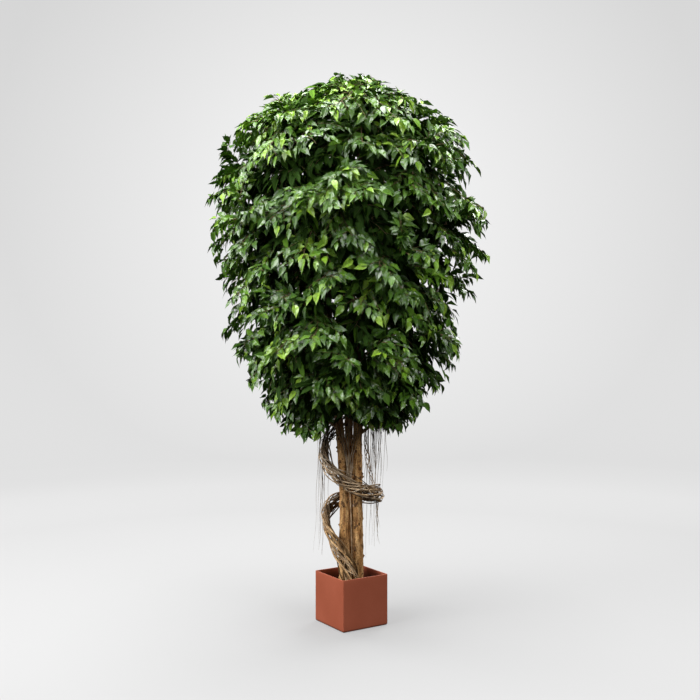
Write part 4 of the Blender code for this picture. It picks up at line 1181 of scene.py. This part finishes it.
# %% Tints and shapes of the leaves
# Young leaves at the tips are bright. Leaves on top of the crown are brighter too, as painted light from
# above, both outside and in the shade
PLAIN_STATIONS = slice(2, 5, 2)
YOUNG_FROM, YOUNG_SHARE = 0.66, 0.42
TOP_LIGHT_HEIGHTS = [2.1, 2.6]
fresh = (outer[4] > YOUNG_FROM) * (draw.random(len(outer[4])) < YOUNG_SHARE)
bright = draw.normal(0.37, 0.15, len(outer[4])) + 0.40 * fresh + 0.22 * soft_noise(outer[0] * 6)
# Painted light: brighter towards the top of the crown
bright = np.clip(bright + 0.20 * np.interp(outer[0][:, 2], TOP_LIGHT_HEIGHTS, [0, 1]), 0, 1)
dull = draw.normal(0.16, 0.10, len(inner[4])) + 0.5 * (draw.random(len(inner[4])) < 0.13)
# Painted light: the shaded leaves, too, are brighter towards the top of the crown
dull = np.clip(dull + 0.45 * np.interp(inner[0][:, 2], TOP_LIGHT_HEIGHTS, [0, 1]), 0, 1)


def leaf_shapes(root, axis, face, length, stations=slice(None)):
    """All leaves as one skin, each with its own fold, sag and curl."""
    count = len(root)
    width = length * LEAF_WIDTH / LEAF_LENGTH * draw.uniform(0.88, 1.14, count)
    fold, sag = draw.uniform(0.15, 0.75, count), draw.uniform(0.04, 0.28, count)
    rings, start, tip = leaf_rings(root, axis, face, length, width, fold, sag, draw.normal(0, 0.05, count))
    return skin(rings[:, stations], start, tip)


def blade_marks(tint, stations):
    """For each corner of each leaf: how far along, how far across, and the leaf's tint. For each face:
    0 above, 1 below."""
    along = np.concatenate([np.repeat(stations, 4), [0.0, 1.0]])
    across = np.concatenate([np.tile([1.0, 0.0, -1.0, 0.0], len(stations)), [0.0, 0.0]])
    leaves = len(tint)
    marks = np.stack([np.tile(along, leaves), np.tile(across, leaves), np.repeat(tint, len(along))], axis=1)
    quads = np.tile([0, 0, 1, 1], (len(stations) - 1) * leaves)
    return marks, quads, np.tile([1, 1, 0, 0, 0, 0, 1, 1], leaves)


print("a leaf is", LEAF_LENGTH, "by", LEAF_WIDTH, "m")

# %% Bough pieces
STEM_END_RADIUS, STEM_SIDES = 0.0015, 8
TWIG_RADII, TWIG_SIDES = (0.0030, 0.0013), 4
SHOOT_END_RADII = (0.0013, 0.0007)
TWIG_SLOT, SHADE_SLOT = 2, 3
bough_pieces = []
for number in range(BOUGHS):
    near, far = outer[5] == number, inner[5] == number
    on_twig, on_shoot = spray_bough == number, shoot_bough == number
    wood = join_shapes(
        plain_tubes(stems[number][None], np.array([[stem_radii[number], STEM_END_RADIUS]]), STEM_SIDES),
        plain_tubes(twigs[on_twig], np.tile(TWIG_RADII, (on_twig.sum(), 1)), TWIG_SIDES),
        plain_tubes(shoots[on_shoot], np.tile(SHOOT_END_RADII, (on_shoot.sum(), 1))),
    )
    sunny = leaf_shapes(*(part[near] for part in outer[:4]))
    shady = leaf_shapes(*(part[far] for part in inner[:4]), PLAIN_STATIONS)
    bough = lay_mesh("bough_leaves_%02d" % (number + 1), *join_shapes(wood, sunny, shady), sharp=35)
    sunny_marks = blade_marks(bright[near], STATIONS)
    shady_marks = blade_marks(dull[far], STATIONS[PLAIN_STATIONS])
    mark(bough, "blade", np.concatenate([np.zeros((len(wood[0]), 3)), sunny_marks[0], shady_marks[0]]))
    kinds = []
    for k in (1, 2):
        kinds += [np.full(len(wood[k]), TWIG_SLOT), sunny_marks[k], np.full(len(shady_marks[k]), SHADE_SLOT)]
    bough.data.polygons.foreach_set("material_index", np.concatenate(kinds).astype(np.int32))
    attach(bough, "root")
    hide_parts("bough_%02d" % (number + 1))
    bough_pieces.append(bough)
print("boughs:", len(bough_pieces), "with", sum(len(piece.data.polygons) for piece in bough_pieces), "faces")

# %% [markdown]
# Fig leaves are waxy above and pale below, and the undersides are painted paler still, as light shining
# through.
# Young ones are yellow-green, old ones nearly black, and the wax gives a bluish shine. Leaves in the shade
# have a darker, duller copy of the greens, which is painted shade. One number for each leaf picks its green,
# and two more say how far along and across the blade a point lies, which draws the pale rib and the side
# veins.

# %% Leaf finishes
UPPER_GREENS = [
    (0.0, (0.009, 0.036, 0.005)), (0.35, (0.027, 0.093, 0.007)),
    (0.65, (0.090, 0.228, 0.006)), (0.92, (0.230, 0.405, 0.020)),
]
# Undersides: pale, and paler still as painted light shining through the leaves
UNDER_GREENS = [(0.0, (0.026, 0.070, 0.006)), (0.5, (0.070, 0.150, 0.014)), (1.0, (0.230, 0.370, 0.040))]
# Painted shade: the leaves in the shade get darker, duller greens
SHADE_GREENS = [(0.0, (0.011, 0.033, 0.003)), (0.4, (0.026, 0.072, 0.005)), (1.0, (0.100, 0.220, 0.012))]
TWIG_BROWNS = [(0.35, (0.080, 0.050, 0.026)), (0.65, (0.22, 0.165, 0.080))]


def leaf_finish(name, greens, roughness, shine, rib):
    """A ramp of greens by the leaf's tint, with a rib where |across| is small, and faint side veins. A vein
    is |sin(30 along - 9 |across|)| to the fifth power."""
    finish = Finish(name, roughness, shine=shine)
    along, across, tint = finish.axes(finish.kept("blade")["Vector"])
    away = finish.math("ABSOLUTE", across)
    forward, sideways = finish.math("MULTIPLY", along, 30.0), finish.math("MULTIPLY", away, 9.0)
    wave = finish.math("SINE", finish.math("SUBTRACT", forward, sideways))
    vein = finish.math("MULTIPLY", finish.math("POWER", finish.math("ABSOLUTE", wave), 5.0), 0.45)
    lines = finish.math("MAXIMUM", finish.fade(away, 0.02, 0.16, 1.0, 0.0), vein)
    mottle = finish.noise(110.0, 3.0)
    uneven = finish.math("MULTIPLY", finish.math("SUBTRACT", mottle, 0.5), 0.25)
    green = finish.ramp(finish.math("ADD", tint, uneven), greens)
    finish.colour(finish.mix(finish.math("MULTIPLY", lines, 0.55), green, rib))
    finish.rough(finish.fade(mottle, 0, 1, roughness - 0.12, roughness + 0.14))
    finish.bump(finish.math("ADD", finish.math("MULTIPLY", lines, -0.6), mottle), 0.0008)
    return finish.material


upper = leaf_finish("leaf_upper", UPPER_GREENS, 0.31, 0.95, (0.17, 0.33, 0.02))
under = leaf_finish("leaf_under", UNDER_GREENS, 0.62, 0.20, (0.15, 0.24, 0.06))
shade = leaf_finish("leaf_shade", SHADE_GREENS, 0.70, 0.12, (0.04, 0.08, 0.01))
twig = Finish("twig_bark", 0.75, shine=0.3)
twig.colour(twig.ramp(twig.noise(60.0, 3.0), TWIG_BROWNS))
for piece in bough_pieces:
    for material in (upper, under, twig.material, shade):
        piece.data.materials.append(material)
print("finished:", len(bough_pieces), "boughs")

# %% [markdown]
# The stage is a pale seamless sweep: a floor that curves up into a back wall, with no edge to catch the eye.
# A sweep lit only by lamps comes out patchy, and a bright one sends light up into the leaves. So this one is
# dark paper that shines a little by itself, which is painted light: least under the planter, as a painted
# shadow, and most on the wall behind the crown, as a painted pool of light. The tree neither mirrors it nor
# is lit by it. The lamps still throw the tree's soft shadow on it.
# The tree's own light is a large soft lamp on the left, weaker ones on the right, above and behind, and a
# dim room.

# %% Stage surface
FLOOR_RADIUS, CURVE_RADIUS, WALL_TOP = 7.0, 3.0, 9.0
STAGE_SIDES = 64
curve = circle(np.linspace(-math.pi / 2, 0, 16)) * CURVE_RADIUS + (FLOOR_RADIUS, CURVE_RADIUS)
bowl = np.concatenate([[(2.0, 0.0), (4.5, 0.0)], curve, [(FLOOR_RADIUS + CURVE_RADIUS, WALL_TOP)]])
ring = circle(even_turns(STAGE_SIDES))
rows = np.stack([np.insert(ring * radius, 2, height, axis=1) for radius, height in bowl])
index = np.arange(len(rows) * STAGE_SIDES).reshape(len(rows), STAGE_SIDES)
after = np.roll(index, -1, axis=1)
faces = quads_of(index[:-1], index[1:], after[1:], after[:-1])
hub = fan_of(index.size, index[0], after[0])
points = np.vstack([rows.reshape(-1, 3), [(0, 0, 0)]]) - (0, 0, 0.0005)
stage = lay_mesh("stage", points, faces, hub)
for ray in ("diffuse", "glossy", "shadow"):
    setattr(stage, "visible_" + ray, False)
print("stage:", len(stage.data.polygons), "faces")

# %% Stage paper
BACKLIGHT = tuple(np.array([0.0, 10.0, 4.0]) @ TURN)
# How much the floor shines, by the square root of the distance from the planter: painted light, dimmest
# near the planter as a painted shadow
FLOOR_GLOW = [
    (0.0, 0.41), (0.5, 0.455), (0.8, 0.515), (1.2, 0.545),
    (1.57, 0.545), (1.83, 0.55), (2.2, 0.635), (2.6, 0.68),
]
paper = Finish("stage_paper", 1.0, shine=0.0)
paper.fill(paper.shader.inputs["Base Color"], (0.13, 0.13, 0.13))
paper.fill(paper.shader.inputs["Emission Color"], (1, 1, 1))


def distance_from(point):
    """The distance of a point of the stage from a given one."""
    node = paper.add("VectorMath", {1: point}, Vector=paper.place())
    node.operation = "DISTANCE"
    return node.outputs["Value"]


far_end = FLOOR_GLOW[-1][0]
spread = paper.math("MULTIPLY", paper.math("POWER", distance_from((0, 0, 0)), 0.5), 1 / far_end)
floor_glow = paper.ramp(spread, [(place / far_end, (glow, glow, glow)) for place, glow in FLOOR_GLOW])
# Painted shade: the wall glows a little less towards its top
height_fade = paper.fade(paper.axes(paper.place())[2], 1.0, 7.0, 0.0, -0.04)
# Painted light: a pool of glow on the wall behind the crown
wall_glow = paper.fade(distance_from(BACKLIGHT), 0.0, 5.2, 0.23, 0.0)
glow = paper.math("ADD", floor_glow, paper.math("ADD", height_fade, wall_glow))
paper.join(glow, paper.shader.inputs["Emission Strength"])
stage.data.materials.append(paper.material)
stage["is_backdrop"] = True
print("stage paper:", len(FLOOR_GLOW), "steps of glow")

# %% Room light and lamps
ROOM_STRENGTH = 0.085
world = bpy.data.worlds.new("room")
bpy.context.scene.world = world
world.use_nodes = True
world.node_tree.nodes["Background"].inputs["Color"].default_value = (1.0, 1.0, 1.0, 1)
world.node_tree.nodes["Background"].inputs["Strength"].default_value = ROOM_STRENGTH


def soft_lamp(name, place, target, size, power):
    """A square lamp at a place in the tree's axes, aimed at a target there."""
    lamp = bpy.data.objects.new(name, bpy.data.lights.new(name, "AREA"))
    lamp.data.size = size
    lamp.data.energy = power
    lamp.location = np.array(place) @ TURN
    way = mathutils.Vector((np.array(target) - np.array(place)) @ TURN)
    lamp.rotation_euler = way.to_track_quat("-Z", "Y").to_euler()
    bpy.context.scene.collection.objects.link(lamp)


soft_lamp("key", (-4.1, -2.5, 4.2), (0, 0, 1.2), 3.6, 455)
soft_lamp("side", (-3.2, 3.2, 3.4), (0, 0, 1.7), 2.6, 112)
soft_lamp("fill", (3.3, -3.6, 3.8), (0, 0, 1.4), 2.6, 162)
soft_lamp("top", (-0.4, -0.4, 5.6), (0, 0, 1.5), 2.8, 295)
soft_lamp("back", (1.8, 3.6, 4.6), (0, 0, 1.6), 2.4, 260)
bpy.context.scene.view_settings.view_transform = "Standard"
print("room light and", len(bpy.data.lights), "lamps")

# %% [markdown]
# Last, the size of the dressed tree is printed beside the frame's own. Dressing must not make it bigger.

# %% Sizes and finish
dressed_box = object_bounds()
dressed_size = np.array(dressed_box[1]) - np.array(dressed_box[0])
print("dressed:", np.round(dressed_size, 3), "m, frame:", np.round(cad_size, 3), "m")
